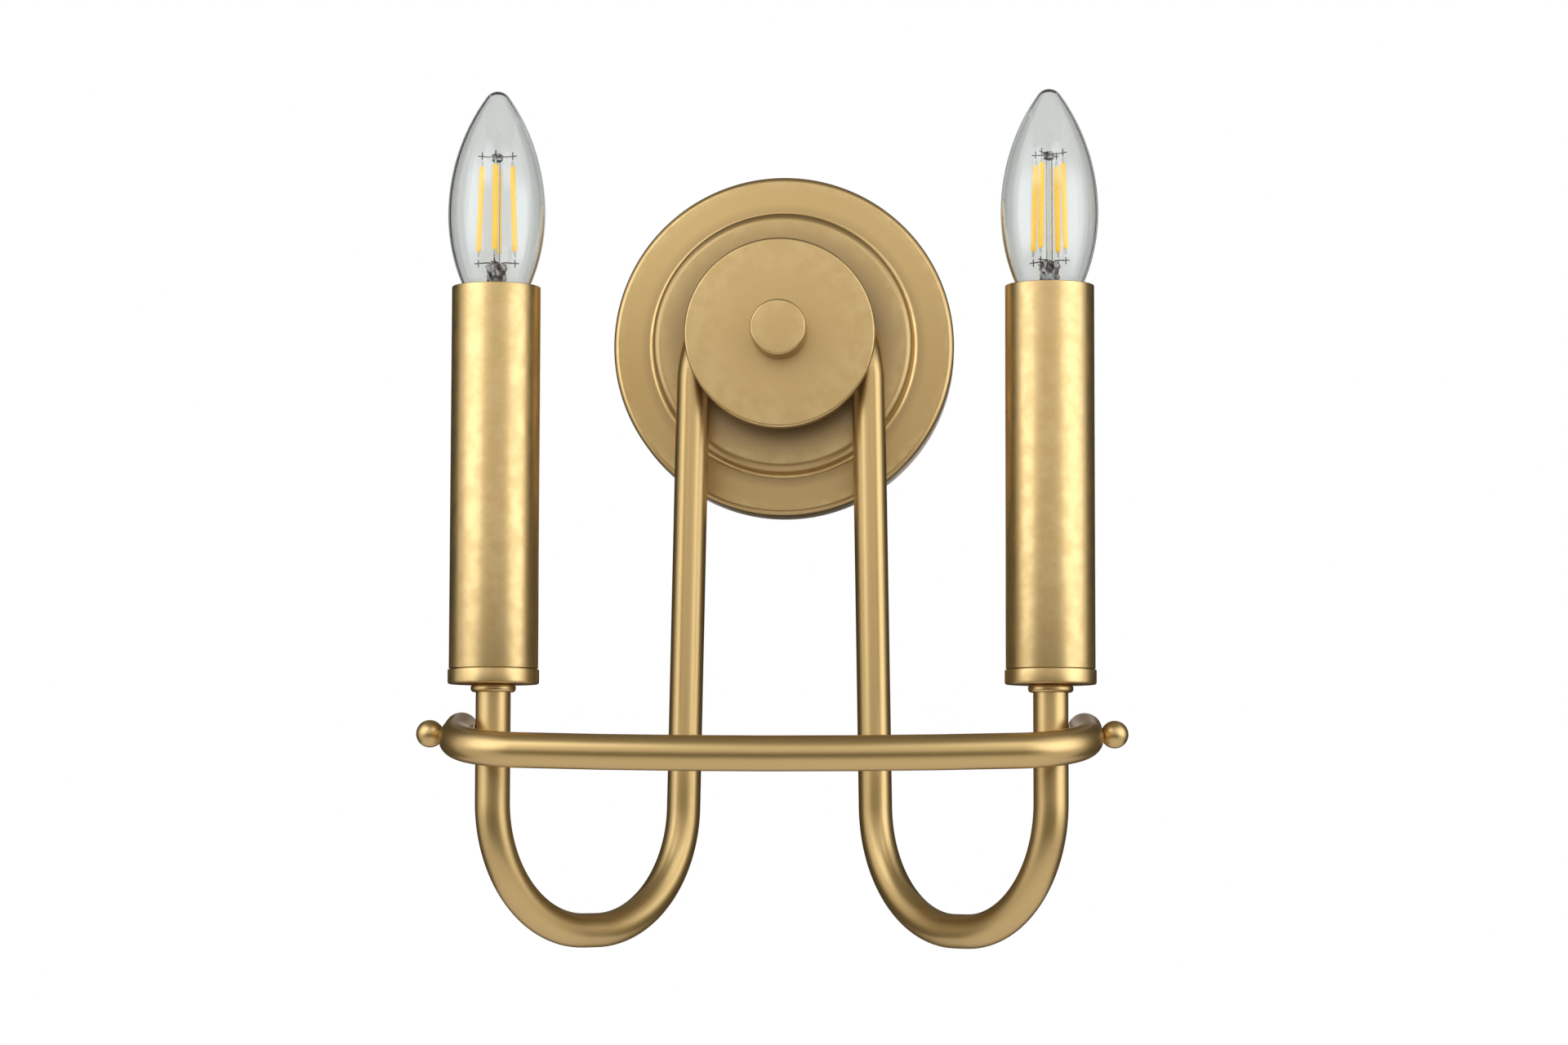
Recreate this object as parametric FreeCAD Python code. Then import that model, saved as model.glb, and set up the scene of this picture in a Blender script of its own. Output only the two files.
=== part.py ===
import FreeCAD, Part
import math
import os
from FreeCAD import Vector

# Double arm wall sconce with candle sleeves, in millimetres.
# +Z is up. The wall is the plane Y = 0 and the sconce stands out from it toward -Y.
# The origin is the centre of the canopy's back, on the wall.
# "Depth" is a distance out from the wall, and "side" is -1 for the left arm and +1 for the right.

SIDES = {"left": -1, "right": 1}

# ---- Clearances ----
SEAT_GAP = 0.05            # between flat faces that rest on each other across a joint
REST_GAP = 0.3             # between a loose piece and its seat
RUNNING_FIT = 0.06         # radial, a turning or sliding piece on its shaft
FIXED_FIT = 0.03           # radial, a screwed or brazed piece in its hole
PASS_CLEARANCE = 0.2       # radial, a hole that a screw or nipple passes through

# ---- Canopy: a stepped spun shell ----
CANOPY_R = 66.7
CANOPY_WALL = 1.2
FLANGE_DEPTH = 22.5        # flat ring between the rim and the step
SHOULDER_R = 2.2           # between the rim's side and the flange
COVE_R = 2.0               # between the flange and the step
FACE_R = 50.8              # raised face
FACE_DEPTH = 34.8
FACE_EDGE_R = 3.5

# ---- Mounting strap and centre stud ----
STRAP_END = 4.25           # between each slot and the strap's end
STRAP_WIDTH = 20.0
STRAP_THICKNESS = 1.6
STRAP_CORNER_R = 4.0
SLOT_SPACING = 79.4        # between the two slots' centres; spans the 69.9 and 88.9 mm box spacings
SLOT_LENGTH = 14.1
SLOT_WIDTH = 4.6
STUD_R = 3.175
STUD_TIP_CLEARANCE = 0.7   # between the stud's end and the end of the knob's bore
STUD_NUT_FLATS = 11.1
STUD_NUT_HEIGHT = 5.6
GROUND_SCREW_HEIGHT = 22.0
GROUND_SCREW_R = 1.9
GROUND_HEAD_R = 4.0
GROUND_HEAD_HEIGHT = 2.4
DRIVER_SLOT_WIDTH = 1.0
DRIVER_SLOT_DEPTH = 1.1

# ---- Cover disc, its spacer and the knob ----
DISC_R = 36.5
DISC_ARM_GAP = 2.95        # between the arms' front and the disc's rim
DISC_RIM_HEIGHT = 6.0
DISC_WALL = 1.6
DISC_EDGE_R = 1.1
SPACER_R = 9.5
WASHER_R = 8.4
WASHER_THICKNESS = 0.8
KNOB_R = 10.6
KNOB_LENGTH = 15.8
KNOB_NECK_R = 7.8
KNOB_NECK_LENGTH = 1.4
KNOB_EDGE_R = 0.8
KNOB_BORE_LENGTH = 12.4

# ---- Arms: half inch tube ----
TUBE_R = 6.35
TUBE_WALL = 1.2
INLET_X = 32.0             # where each arm leaves the canopy
INLET_LEG_DEPTH = 49.7     # depth of the inner leg's axis at the canopy's centre height
INLET_STRAIGHT = 1.5       # between the canopy's face and the elbow's bend
TOE_IN = 1.7               # how far the leg's top leans inward
TOE_IN_RUN = 2.0           # between the elbow's bend and the corner where the lean starts
TOE_IN_BEND_R = 20.0
LEG_FOOT_X = 37.3          # the inner leg's axis at the height of the U's lowest axis point
LEG_FOOT_DEPTH = 54.5
U_DROP = 86.8              # from the tube's upright end down to the axis of the U's lowest point
U_BOTTOM_STRAIGHT = 7.0     # level run between the U's two bends
CANDLE_X = 101.0
CANDLE_DEPTH = 131.5
TAIL_R = 5.1               # threaded tail that passes through the canopy
TAIL_BORE_R = 3.9
TAIL_LENGTH = 9.8
TAIL_SHOULDER = 1.2
LOCK_WASHER_R = 8.5
LOCK_WASHER_THICKNESS = 0.8
LOCK_NUT_FLATS = 14.3
LOCK_NUT_HEIGHT = 4.0

# ---- Candle cup, collar and nipple ----
TUBE_TOP_HEIGHT = -139.9
COLLAR_R = 8.2
COLLAR_HEIGHT = 2.9
COLLAR_EDGE_R = 1.2
CUP_OVERHANG = 0.4         # how far the cup stands out past the sleeve
CUP_HEIGHT = 5.3
CUP_FLOOR = 1.5
CUP_EDGE_R = 0.8
SPIGOT_HEIGHT = 5.0        # ring that the sleeve slips over
SPIGOT_WALL = 1.2
NIPPLE_BORE_R = 3.5
NIPPLE_DEPTH_IN_TUBE = 9.0
NIPPLE_ABOVE_NUT = 1.4

# ---- Candle sleeve ----
SLEEVE_R = 16.2
SLEEVE_WALL = 1.0
SLEEVE_LENGTH = 139.6
SLEEVE_EDGE_R = 0.3

# ---- Bulb: clear candle bulb on a 12 mm screw base ----
BULB_R = 17.8
BULB_WIDEST_ABOVE_SLEEVE = 26.9
BULB_LOWER_ARC_R = 66.3
BULB_UPPER_ARC_R = 75.8
BULB_TIP_R = 4.0
BULB_GLASS_WALL = 0.8
BULB_SHOULDER_R = 6.6      # where the glass meets its metal base
BULB_NECK_R = 5.3
BULB_NECK_LENGTH = 4.0
BASE_R = 5.85
BASE_WALL = 0.35
BASE_LENGTH = 13.0
THREAD_PITCH = 2.54
THREAD_DEPTH = 0.5
INSULATOR_TOP_R = 5.0
INSULATOR_R = 3.0
INSULATOR_HEIGHT = 2.5
CONTACT_R = 2.2
CONTACT_HEIGHT = 1.5
STEM_R = 3.5
STEM_WALL = 0.7
STEM_WAIST_R = 3.0
STEM_TOP_BELOW_WIDEST = 19.5
STEM_ROD_R = 1.2
STEM_ROD_ABOVE_WIRE = 0.8
FILAMENT_R = 0.85
FILAMENT_LENGTH = 31.6
FILAMENT_FOOT_BELOW_WIDEST = 15.4
FILAMENT_FOOT_RADIUS = 6.7
FILAMENT_HEAD_RADIUS = 5.6
FILAMENT_COUNT = 4
FILAMENT_TURN = {-1: 0.0, 1: -30.0}   # degrees, where each screwed-in bulb's first filament stops
SUPPORT_WIRE_R = 0.3
SUPPORT_WIRE_OVERHANG = 0.9
SUPPORT_WIRE_REACH = 3.15  # from a filament's end to the level of its spoke

# ---- Lamp holder inside the sleeve ----
HOLDER_R = 10.5
HOLDER_LENGTH = 46.8
HOLDER_BELOW_BASE_TOP = 1.5
HOLDER_CHAMBER_R = 4.5
HOLDER_CHAMBER_DEPTH = 4.5
SHELL_WALL = 0.55
SHELL_LENGTH = 13.4
TONGUE_THICKNESS = 0.35
TONGUE_LENGTH = 7.0
TONGUE_WIDTH = 3.0
TONGUE_LEG_LENGTH = 9.0
BRACKET_THICKNESS = 1.2
BRACKET_WIDTH = 13.0
BRACKET_TOE = 8.0          # how far the foot reaches past the nipple's axis
BRACKET_OVERLAP = 26.0     # how far the leg reaches up beside the holder
BRACKET_SCREW_RISE = 14.0  # from the holder's bottom to the screw
BRACKET_SCREW_R = 1.5
BRACKET_SCREW_HEAD_R = 2.4
BRACKET_SCREW_LENGTH = 4.2

# ---- Crossbar: a tube bail held at its ends by two ball screws ----
BAR_WALL = 1.5
BAR_REACH = 41.0           # from the screws' axis to the middle of the front tube
BAR_TAIL = 9.0             # behind the screws' axis
BAR_CORNER_R = 28.0
BAR_BOW_R = 620.0          # gentle forward bow of the front tube
BAR_DROOP = 11.0           # degrees below level
PIVOT_BELOW_TUBE_TOP = 15.1
INNER_SPOT_DEPTH = 0.75
INNER_SPOT_MARGIN = 0.6
OUTER_SPOT_DEPTH = 0.5
OUTER_SPOT_R = 3.2
PLUG_CAP = 1.2
PLUG_EDGE_R = 0.9
PLUG_LENGTH = 5.0
BALL_R = 5.0
BALL_NECK_R = 2.2
BALL_NECK_LENGTH = 0.1
SCREW_R = 2.0
SCREW_TIP_IN_TUBE = 1.2
PIVOT_WASHER_R = 4.0
PIVOT_WASHER_THICKNESS = 0.4

# ---- Lead wires and their connectors in the canopy ----
LEAD_R = 1.0
LEAD_SPREAD = 1.5          # each lead's distance from the tube's axis
LEAD_SPREAD_AT_HOLDER = 5.0
LEAD_FAN_ABOVE_NIPPLE = 7.0
LEAD_FAN_BELOW_HOLDER = 35.0
LEAD_BEND_R = 6.0
LEAD_INLET_BEND_R = 4.0
LEAD_FAN_R = 40.0
LEAD_HOLE_DEPTH = 10.0
LEAD_INLET_DEPTH = 11.5
LEAD_TURN_HEIGHT = 13.0
LEAD_PAIR_X = 1.2
CONNECTOR_DEPTH = 22.0
CONNECTOR_MOUTH_HEIGHT = 20.0
CONNECTOR_LENGTH = 22.0
CONNECTOR_MOUTH_R = 6.0
CONNECTOR_TIP_R = 4.2
CONNECTOR_BORE_LENGTH = 14.0

# ---- Places that follow from the sizes above ----
X_AXIS = Vector(1, 0, 0)
OUT = Vector(0, -1, 0)
UP = Vector(0, 0, 1)
STRAP_LENGTH = SLOT_SPACING + SLOT_LENGTH + 2 * STRAP_END
FLANGE_BACK_DEPTH = FLANGE_DEPTH - CANOPY_WALL
FACE_BACK_DEPTH = FACE_DEPTH - CANOPY_WALL
DISC_FACE_DEPTH = INLET_LEG_DEPTH + TUBE_R + DISC_ARM_GAP + DISC_RIM_HEIGHT
DISC_BACK_DEPTH = DISC_FACE_DEPTH - DISC_WALL
WASHER_BACK_DEPTH = DISC_FACE_DEPTH + SEAT_GAP
KNOB_BACK_DEPTH = WASHER_BACK_DEPTH + WASHER_THICKNESS + SEAT_GAP
STUD_TIP_DEPTH = KNOB_BACK_DEPTH + KNOB_BORE_LENGTH - STUD_TIP_CLEARANCE
ELBOW_R = INLET_LEG_DEPTH - FACE_DEPTH - INLET_STRAIGHT
LEG_TOP_X = INLET_X + TOE_IN
LEG_TOP_HEIGHT = -ELBOW_R - TOE_IN_RUN
U_BOTTOM_HEIGHT = TUBE_TOP_HEIGHT - U_DROP
PIVOT_HEIGHT = TUBE_TOP_HEIGHT - PIVOT_BELOW_TUBE_TOP
CUP_R = SLEEVE_R + CUP_OVERHANG
CUP_BOTTOM = TUBE_TOP_HEIGHT + COLLAR_HEIGHT
CUP_RIM = CUP_BOTTOM + CUP_HEIGHT
CUP_FLOOR_TOP = CUP_BOTTOM + CUP_FLOOR
BRACKET_BOTTOM = CUP_FLOOR_TOP + LOCK_NUT_HEIGHT
NIPPLE_R = TUBE_R - TUBE_WALL - FIXED_FIT
NIPPLE_BOTTOM = TUBE_TOP_HEIGHT - NIPPLE_DEPTH_IN_TUBE
NIPPLE_TOP = BRACKET_BOTTOM + BRACKET_THICKNESS + LOCK_NUT_HEIGHT + NIPPLE_ABOVE_NUT
SLEEVE_BOTTOM = CUP_RIM + REST_GAP
SLEEVE_TOP = SLEEVE_BOTTOM + SLEEVE_LENGTH
SLEEVE_BORE_R = SLEEVE_R - SLEEVE_WALL
SPIGOT_R = SLEEVE_BORE_R - RUNNING_FIT
BULB_WIDEST = SLEEVE_TOP + BULB_WIDEST_ABOVE_SLEEVE
SHOULDER_REACH = BULB_LOWER_ARC_R - BULB_R + BULB_SHOULDER_R
BASE_TOP = BULB_WIDEST - math.sqrt(BULB_LOWER_ARC_R ** 2 - SHOULDER_REACH ** 2)
BASE_BOTTOM = BASE_TOP - BASE_LENGTH
INSULATOR_BOTTOM = BASE_BOTTOM - INSULATOR_HEIGHT
CONTACT_BOTTOM = INSULATOR_BOTTOM - CONTACT_HEIGHT
HOLDER_TOP = BASE_TOP - HOLDER_BELOW_BASE_TOP
HOLDER_BOTTOM = HOLDER_TOP - HOLDER_LENGTH
SHELL_BORE_R = BASE_R + RUNNING_FIT
SHELL_R = SHELL_BORE_R + SHELL_WALL
TONGUE_TOP = CONTACT_BOTTOM - REST_GAP
HOLDER_BORE_BOTTOM = TONGUE_TOP
CHAMBER_BOTTOM = HOLDER_BORE_BOTTOM - HOLDER_CHAMBER_DEPTH
BRACKET_TOP = HOLDER_BOTTOM + BRACKET_OVERLAP
BRACKET_SCREW_HEIGHT = HOLDER_BOTTOM + BRACKET_SCREW_RISE
BRACKET_LEG_X = HOLDER_R + FIXED_FIT
TONGUE_LEG_X = TONGUE_LENGTH / 2
STEM_TOP = BULB_WIDEST - STEM_TOP_BELOW_WIDEST
FILAMENT_FOOT = BULB_WIDEST - FILAMENT_FOOT_BELOW_WIDEST
FILAMENT_LEAN = FILAMENT_FOOT_RADIUS - FILAMENT_HEAD_RADIUS
FILAMENT_HEAD = FILAMENT_FOOT + math.sqrt(FILAMENT_LENGTH ** 2 - FILAMENT_LEAN ** 2)
LOWER_WIRE = FILAMENT_FOOT - SUPPORT_WIRE_REACH
UPPER_WIRE = FILAMENT_HEAD + SUPPORT_WIRE_REACH
LEAD_FAN_START = NIPPLE_TOP + LEAD_FAN_ABOVE_NIPPLE
LEAD_FAN_END = HOLDER_BOTTOM - LEAD_FAN_BELOW_HOLDER
CONNECTOR_BORE_R = LEAD_PAIR_X + LEAD_R + REST_GAP
INNER_SPOT_R = PIVOT_WASHER_R + INNER_SPOT_MARGIN
TUBE_SIDE_X = CANDLE_X + TUBE_R
INNER_SPOT_X = TUBE_SIDE_X + PIVOT_WASHER_THICKNESS + 2 * SEAT_GAP
BAR_END_X = INNER_SPOT_X - INNER_SPOT_DEPTH + TUBE_R
SCREW_SEAT_X = BAR_END_X + TUBE_R - OUTER_SPOT_DEPTH
PIVOT = Vector(0, -CANDLE_DEPTH, PIVOT_HEIGHT)


def at(x, depth, height):
    """A point by its sideways place, its distance out from the wall and its height."""
    return Vector(x, -depth, height)


def candle_point(side, height):
    """A point on one candle's upright axis."""
    return at(side * CANDLE_X, CANDLE_DEPTH, height)


def rounded_wire(corners, closed=False):
    """Straight runs through (point, radius) corners, each corner rounded with a tangent arc."""
    count = len(corners)
    bends = []
    for index, (point, radius) in enumerate(corners):
        at_end = not closed and index in (0, count - 1)
        if at_end or radius == 0:
            bends.append((point, None, point))
            continue
        back = (corners[index - 1][0] - point).normalize()
        ahead = (corners[(index + 1) % count][0] - point).normalize()
        half_angle = back.getAngle(ahead) / 2
        cut = radius / math.tan(half_angle)
        bisector = (back + ahead).normalize()
        middle = point + bisector * (radius / math.sin(half_angle) - radius)
        bends.append((point + back * cut, middle, point + ahead * cut))
    edges = []
    for index, (start, middle, end) in enumerate(bends):
        if middle is not None:
            edges.append(Part.Arc(start, middle, end).toShape())
        if index == count - 1 and not closed:
            break
        following = bends[(index + 1) % count][0]
        if end.distanceToPoint(following) > 1e-5:
            edges.append(Part.LineSegment(end, following).toShape())
    return Part.Wire(edges)


def across_from(axis):
    """A direction square to an axis that lies along X, Y or Z."""
    return UP if abs(axis.x) > 0.5 else X_AXIS


def turned(outline, centre, axis):
    """A solid turned about an axis from (radius, distance along the axis[, corner radius]) points."""
    across = across_from(axis)
    corners = []
    for radius, along, *corner in outline:
        point = centre + across * radius + axis * along
        corners.append((point, corner[0] if corner else 0))
    face = Part.Face(rounded_wire(corners, closed=True))
    return face.revolve(centre, axis, 360)


def turned_on_wall(outline):
    """A solid turned about the canopy's axis, from (radius, depth[, corner radius]) points."""
    return turned(outline, Vector(0, 0, 0), OUT)


def turned_on_candle(side, outline):
    """A solid turned about a candle's axis, from (radius, height[, corner radius]) points."""
    return turned(outline, candle_point(side, 0), UP)


def cylinder(radius, start, end):
    """A round bar between two points."""
    return Part.makeCylinder(radius, start.distanceToPoint(end), start, end - start)


def hexagon(across_flats, hole_r, start, end):
    """A hexagonal nut between two points, with its hole and its corners turned off at both ends."""
    axis = (end - start).normalize()
    first = across_from(axis)
    second = axis.cross(first)
    corner_r = across_flats / math.sqrt(3)
    points = []
    for index in range(7):
        angle = math.radians(60 * index)
        points.append(start + first * (corner_r * math.cos(angle)) + second * (corner_r * math.sin(angle)))
    nut = Part.Face(Part.makePolygon(points)).extrude(end - start)
    flat_r = across_flats / 2
    chamfer = (corner_r - flat_r) / 2
    height = start.distanceToPoint(end)
    blank = turned([(hole_r, 0), (flat_r, 0), (corner_r, chamfer), (corner_r, height - chamfer),
                    (flat_r, height), (hole_r, height)], start, axis)
    return nut.common(blank)


def tube_along(wire, radius):
    """A round solid swept along a path of lines and arcs."""
    first = wire.OrderedEdges[0]
    start = first.valueAt(first.FirstParameter)
    heading = first.tangentAt(first.FirstParameter)
    circle = Part.Wire(Part.makeCircle(radius, start, heading))
    return wire.makePipeShell([circle], True, False)


# ---- Canopy group ----

def mounting_strap():
    half_width = STRAP_WIDTH / 2
    half_length = STRAP_LENGTH / 2
    corners = []
    for x, height in ((-1, -1), (1, -1), (1, 1), (-1, 1)):
        corners.append((at(x * half_width, 0, height * half_length), STRAP_CORNER_R))
    strap = Part.Face(rounded_wire(corners, closed=True)).extrude(OUT * STRAP_THICKNESS)
    for end in (-1, 1):
        strap = strap.cut(strap_slot(end * SLOT_SPACING / 2))
    strap = strap.cut(cylinder(STUD_R + FIXED_FIT, at(0, -1, 0), at(0, STRAP_THICKNESS + 1, 0)))
    screw_hole_r = GROUND_SCREW_R + FIXED_FIT
    return strap.cut(cylinder(screw_hole_r, at(0, -1, GROUND_SCREW_HEIGHT),
                              at(0, STRAP_THICKNESS + 1, GROUND_SCREW_HEIGHT)))


def strap_slot(height):
    """The material removed for one upright slot, centred at a height."""
    reach = (SLOT_LENGTH - SLOT_WIDTH) / 2
    slot_r = SLOT_WIDTH / 2
    low = cylinder(slot_r, at(0, -1, height - reach), at(0, STRAP_THICKNESS + 1, height - reach))
    high = cylinder(slot_r, at(0, -1, height + reach), at(0, STRAP_THICKNESS + 1, height + reach))
    middle = Part.makeBox(SLOT_WIDTH, STRAP_THICKNESS + 2, 2 * reach,
                          Vector(-slot_r, -STRAP_THICKNESS - 1, height - reach))
    return low.fuse([high, middle])


def ground_screw():
    outline = [(0, 0), (GROUND_SCREW_R, 0), (GROUND_SCREW_R, STRAP_THICKNESS),
               (GROUND_HEAD_R, STRAP_THICKNESS), (GROUND_HEAD_R, STRAP_THICKNESS + GROUND_HEAD_HEIGHT, 1.0),
               (0, STRAP_THICKNESS + GROUND_HEAD_HEIGHT)]
    screw = turned(outline, at(0, 0, GROUND_SCREW_HEIGHT), OUT)
    head_front = STRAP_THICKNESS + GROUND_HEAD_HEIGHT
    slot = Part.makeBox(2 * GROUND_HEAD_R, DRIVER_SLOT_DEPTH, DRIVER_SLOT_WIDTH,
                        Vector(-GROUND_HEAD_R, -head_front, GROUND_SCREW_HEIGHT - DRIVER_SLOT_WIDTH / 2))
    return screw.cut(slot)


def center_stud():
    return turned_on_wall([(0, 0), (STUD_R, 0, 0.4), (STUD_R, STUD_TIP_DEPTH, 0.6), (0, STUD_TIP_DEPTH)])


def stud_lock_nut():
    return hexagon(STUD_NUT_FLATS, STUD_R + FIXED_FIT, at(0, STRAP_THICKNESS, 0),
                   at(0, STRAP_THICKNESS + STUD_NUT_HEIGHT, 0))


def canopy():
    hole_r = STUD_R + PASS_CLEARANCE
    inner_rim_r = CANOPY_R - CANOPY_WALL
    inner_face_r = FACE_R - CANOPY_WALL
    outline = [(inner_rim_r, 0), (CANOPY_R, 0), (CANOPY_R, FLANGE_DEPTH, SHOULDER_R),
               (FACE_R, FLANGE_DEPTH, COVE_R), (FACE_R, FACE_DEPTH, FACE_EDGE_R),
               (hole_r, FACE_DEPTH), (hole_r, FACE_BACK_DEPTH),
               (inner_face_r, FACE_BACK_DEPTH, FACE_EDGE_R - CANOPY_WALL),
               (inner_face_r, FLANGE_BACK_DEPTH, COVE_R + CANOPY_WALL),
               (inner_rim_r, FLANGE_BACK_DEPTH, SHOULDER_R - CANOPY_WALL)]
    shell = turned_on_wall(outline)
    for side in SIDES.values():
        behind = at(side * INLET_X, FACE_BACK_DEPTH - 1, 0)
        ahead = at(side * INLET_X, FACE_DEPTH + 1, 0)
        shell = shell.cut(cylinder(TAIL_R + PASS_CLEARANCE, behind, ahead))
    return shell


def hub_spacer():
    bore_r = STUD_R + PASS_CLEARANCE
    return turned_on_wall([(bore_r, FACE_DEPTH), (SPACER_R, FACE_DEPTH, 0.5),
                           (SPACER_R, DISC_BACK_DEPTH, 0.5), (bore_r, DISC_BACK_DEPTH)])


def cover_disc():
    hole_r = STUD_R + PASS_CLEARANCE
    rim_back = DISC_FACE_DEPTH - DISC_RIM_HEIGHT
    return turned_on_wall([(hole_r, DISC_FACE_DEPTH), (DISC_R, DISC_FACE_DEPTH, DISC_EDGE_R),
                           (DISC_R, rim_back, 0.4), (DISC_R - DISC_WALL, rim_back, 0.4),
                           (DISC_R - DISC_WALL, DISC_BACK_DEPTH), (hole_r, DISC_BACK_DEPTH)])


def knob_washer():
    bore_r = STUD_R + RUNNING_FIT
    front = WASHER_BACK_DEPTH + WASHER_THICKNESS
    return turned_on_wall([(bore_r, WASHER_BACK_DEPTH), (WASHER_R, WASHER_BACK_DEPTH),
                           (WASHER_R, front), (bore_r, front)])


def knob():
    bore_r = STUD_R + RUNNING_FIT
    front = KNOB_BACK_DEPTH + KNOB_LENGTH
    neck_front = KNOB_BACK_DEPTH + KNOB_NECK_LENGTH
    bore_end = KNOB_BACK_DEPTH + KNOB_BORE_LENGTH
    return turned_on_wall([(bore_r, KNOB_BACK_DEPTH), (KNOB_NECK_R, KNOB_BACK_DEPTH),
                           (KNOB_NECK_R, neck_front), (KNOB_R, neck_front, 0.4),
                           (KNOB_R, front, KNOB_EDGE_R), (0, front), (0, bore_end), (bore_r, bore_end)])


# ---- Arms ----

def arm_corners(side, shift=0.0):
    """The arm's axis from its elbow to its upright end, or a line shifted sideways inside the tube."""
    across = arm_across(side)
    inlet = at(side * (INLET_X + shift), INLET_LEG_DEPTH, 0)
    leg_top = at(side * (LEG_TOP_X + shift), INLET_LEG_DEPTH, LEG_TOP_HEIGHT)
    foot = at(side * LEG_FOOT_X, LEG_FOOT_DEPTH, U_BOTTOM_HEIGHT) + across * shift
    heel = at(side * CANDLE_X, CANDLE_DEPTH, U_BOTTOM_HEIGHT) + across * shift
    u_r = u_radius(side)
    return [(inlet, ELBOW_R), (leg_top, TOE_IN_BEND_R), (foot, u_r), (heel, u_r)]


def arm_across(side):
    """The level direction square to the upright plane of the arm's U bend."""
    along = at(side * (CANDLE_X - LEG_FOOT_X), CANDLE_DEPTH - LEG_FOOT_DEPTH, 0).normalize()
    square = UP.cross(along)
    return square * side


def u_radius(side):
    """The radius of the U's two bends, which leave a short level run between them."""
    top = at(side * LEG_TOP_X, INLET_LEG_DEPTH, LEG_TOP_HEIGHT)
    foot = at(side * LEG_FOOT_X, LEG_FOOT_DEPTH, U_BOTTOM_HEIGHT)
    heel = at(side * CANDLE_X, CANDLE_DEPTH, U_BOTTOM_HEIGHT)
    foot_half_angle = (top - foot).getAngle(heel - foot) / 2
    return ((heel - foot).Length - U_BOTTOM_STRAIGHT) / (1 / math.tan(foot_half_angle) + 1)


def arm_tube(side):
    start = at(side * INLET_X, FACE_DEPTH, 0)
    end = candle_point(side, TUBE_TOP_HEIGHT)
    path = rounded_wire([(start, 0)] + arm_corners(side) + [(end, 0)])
    bore_start = at(side * INLET_X, FACE_DEPTH + TAIL_SHOULDER, 0)
    bore_path = rounded_wire([(bore_start, 0)] + arm_corners(side) + [(end, 0)])
    tube = tube_along(path, TUBE_R).cut(tube_along(bore_path, TUBE_R - TUBE_WALL))
    tail_end = at(side * INLET_X, FACE_DEPTH - TAIL_LENGTH, 0)
    tube = tube.fuse(cylinder(TAIL_R, tail_end, at(side * INLET_X, FACE_DEPTH + TAIL_SHOULDER, 0)))
    tube = tube.cut(cylinder(TAIL_BORE_R, tail_end, at(side * INLET_X, FACE_DEPTH + TAIL_SHOULDER, 0)))
    screw_side = PIVOT + X_AXIS * (side * CANDLE_X)
    hole = cylinder(SCREW_R + FIXED_FIT, screw_side, screw_side + X_AXIS * (side * 2 * TUBE_R))
    return tube.cut(hole).removeSplitter()


def arm_lock_washers():
    washers = []
    for side in SIDES.values():
        front = at(side * INLET_X, FACE_BACK_DEPTH, 0)
        back = at(side * INLET_X, FACE_BACK_DEPTH - LOCK_WASHER_THICKNESS, 0)
        washers.append(cylinder(LOCK_WASHER_R, back, front).cut(cylinder(TAIL_R + FIXED_FIT, back, front)))
    return Part.makeCompound(washers)


def arm_lock_nuts():
    front_depth = FACE_BACK_DEPTH - LOCK_WASHER_THICKNESS
    nuts = []
    for side in SIDES.values():
        x = side * INLET_X
        nuts.append(hexagon(LOCK_NUT_FLATS, TAIL_R + FIXED_FIT, at(x, front_depth - LOCK_NUT_HEIGHT, 0),
                            at(x, front_depth, 0)))
    return Part.makeCompound(nuts)


# ---- Candle seats ----

def candle_collar(side):
    hole_r = NIPPLE_R + FIXED_FIT
    return turned_on_candle(side, [(hole_r, TUBE_TOP_HEIGHT), (COLLAR_R, TUBE_TOP_HEIGHT, COLLAR_EDGE_R),
                                   (COLLAR_R, CUP_BOTTOM, COLLAR_EDGE_R), (hole_r, CUP_BOTTOM)])


def candle_cup(side):
    hole_r = NIPPLE_R + PASS_CLEARANCE
    pan_r = SPIGOT_R - SPIGOT_WALL
    return turned_on_candle(side, [(hole_r, CUP_BOTTOM), (CUP_R, CUP_BOTTOM, CUP_EDGE_R),
                                   (CUP_R, CUP_RIM, 0.2), (SPIGOT_R, CUP_RIM),
                                   (SPIGOT_R, CUP_RIM + SPIGOT_HEIGHT, 0.3), (pan_r, CUP_RIM + SPIGOT_HEIGHT),
                                   (pan_r, CUP_FLOOR_TOP, 0.6), (hole_r, CUP_FLOOR_TOP)])


def candle_nipple(side):
    return turned_on_candle(side, [(NIPPLE_BORE_R, NIPPLE_BOTTOM), (NIPPLE_R, NIPPLE_BOTTOM, 0.4),
                                   (NIPPLE_R, NIPPLE_TOP, 0.4), (NIPPLE_BORE_R, NIPPLE_TOP)])


def candle_lock_nuts():
    """On each nipple one nut clamps the cup, and a second clamps the bracket above it."""
    nuts = []
    for side in SIDES.values():
        for bottom in (CUP_FLOOR_TOP, BRACKET_BOTTOM + BRACKET_THICKNESS):
            nuts.append(hexagon(LOCK_NUT_FLATS, NIPPLE_R + FIXED_FIT, candle_point(side, bottom),
                                candle_point(side, bottom + LOCK_NUT_HEIGHT)))
    return Part.makeCompound(nuts)


def candle_sleeve(side):
    return turned_on_candle(side, [(SLEEVE_BORE_R, SLEEVE_BOTTOM, SLEEVE_EDGE_R),
                                   (SLEEVE_R, SLEEVE_BOTTOM, SLEEVE_EDGE_R),
                                   (SLEEVE_R, SLEEVE_TOP, SLEEVE_EDGE_R),
                                   (SLEEVE_BORE_R, SLEEVE_TOP, SLEEVE_EDGE_R)])


# ---- Lamp holder ----

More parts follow.
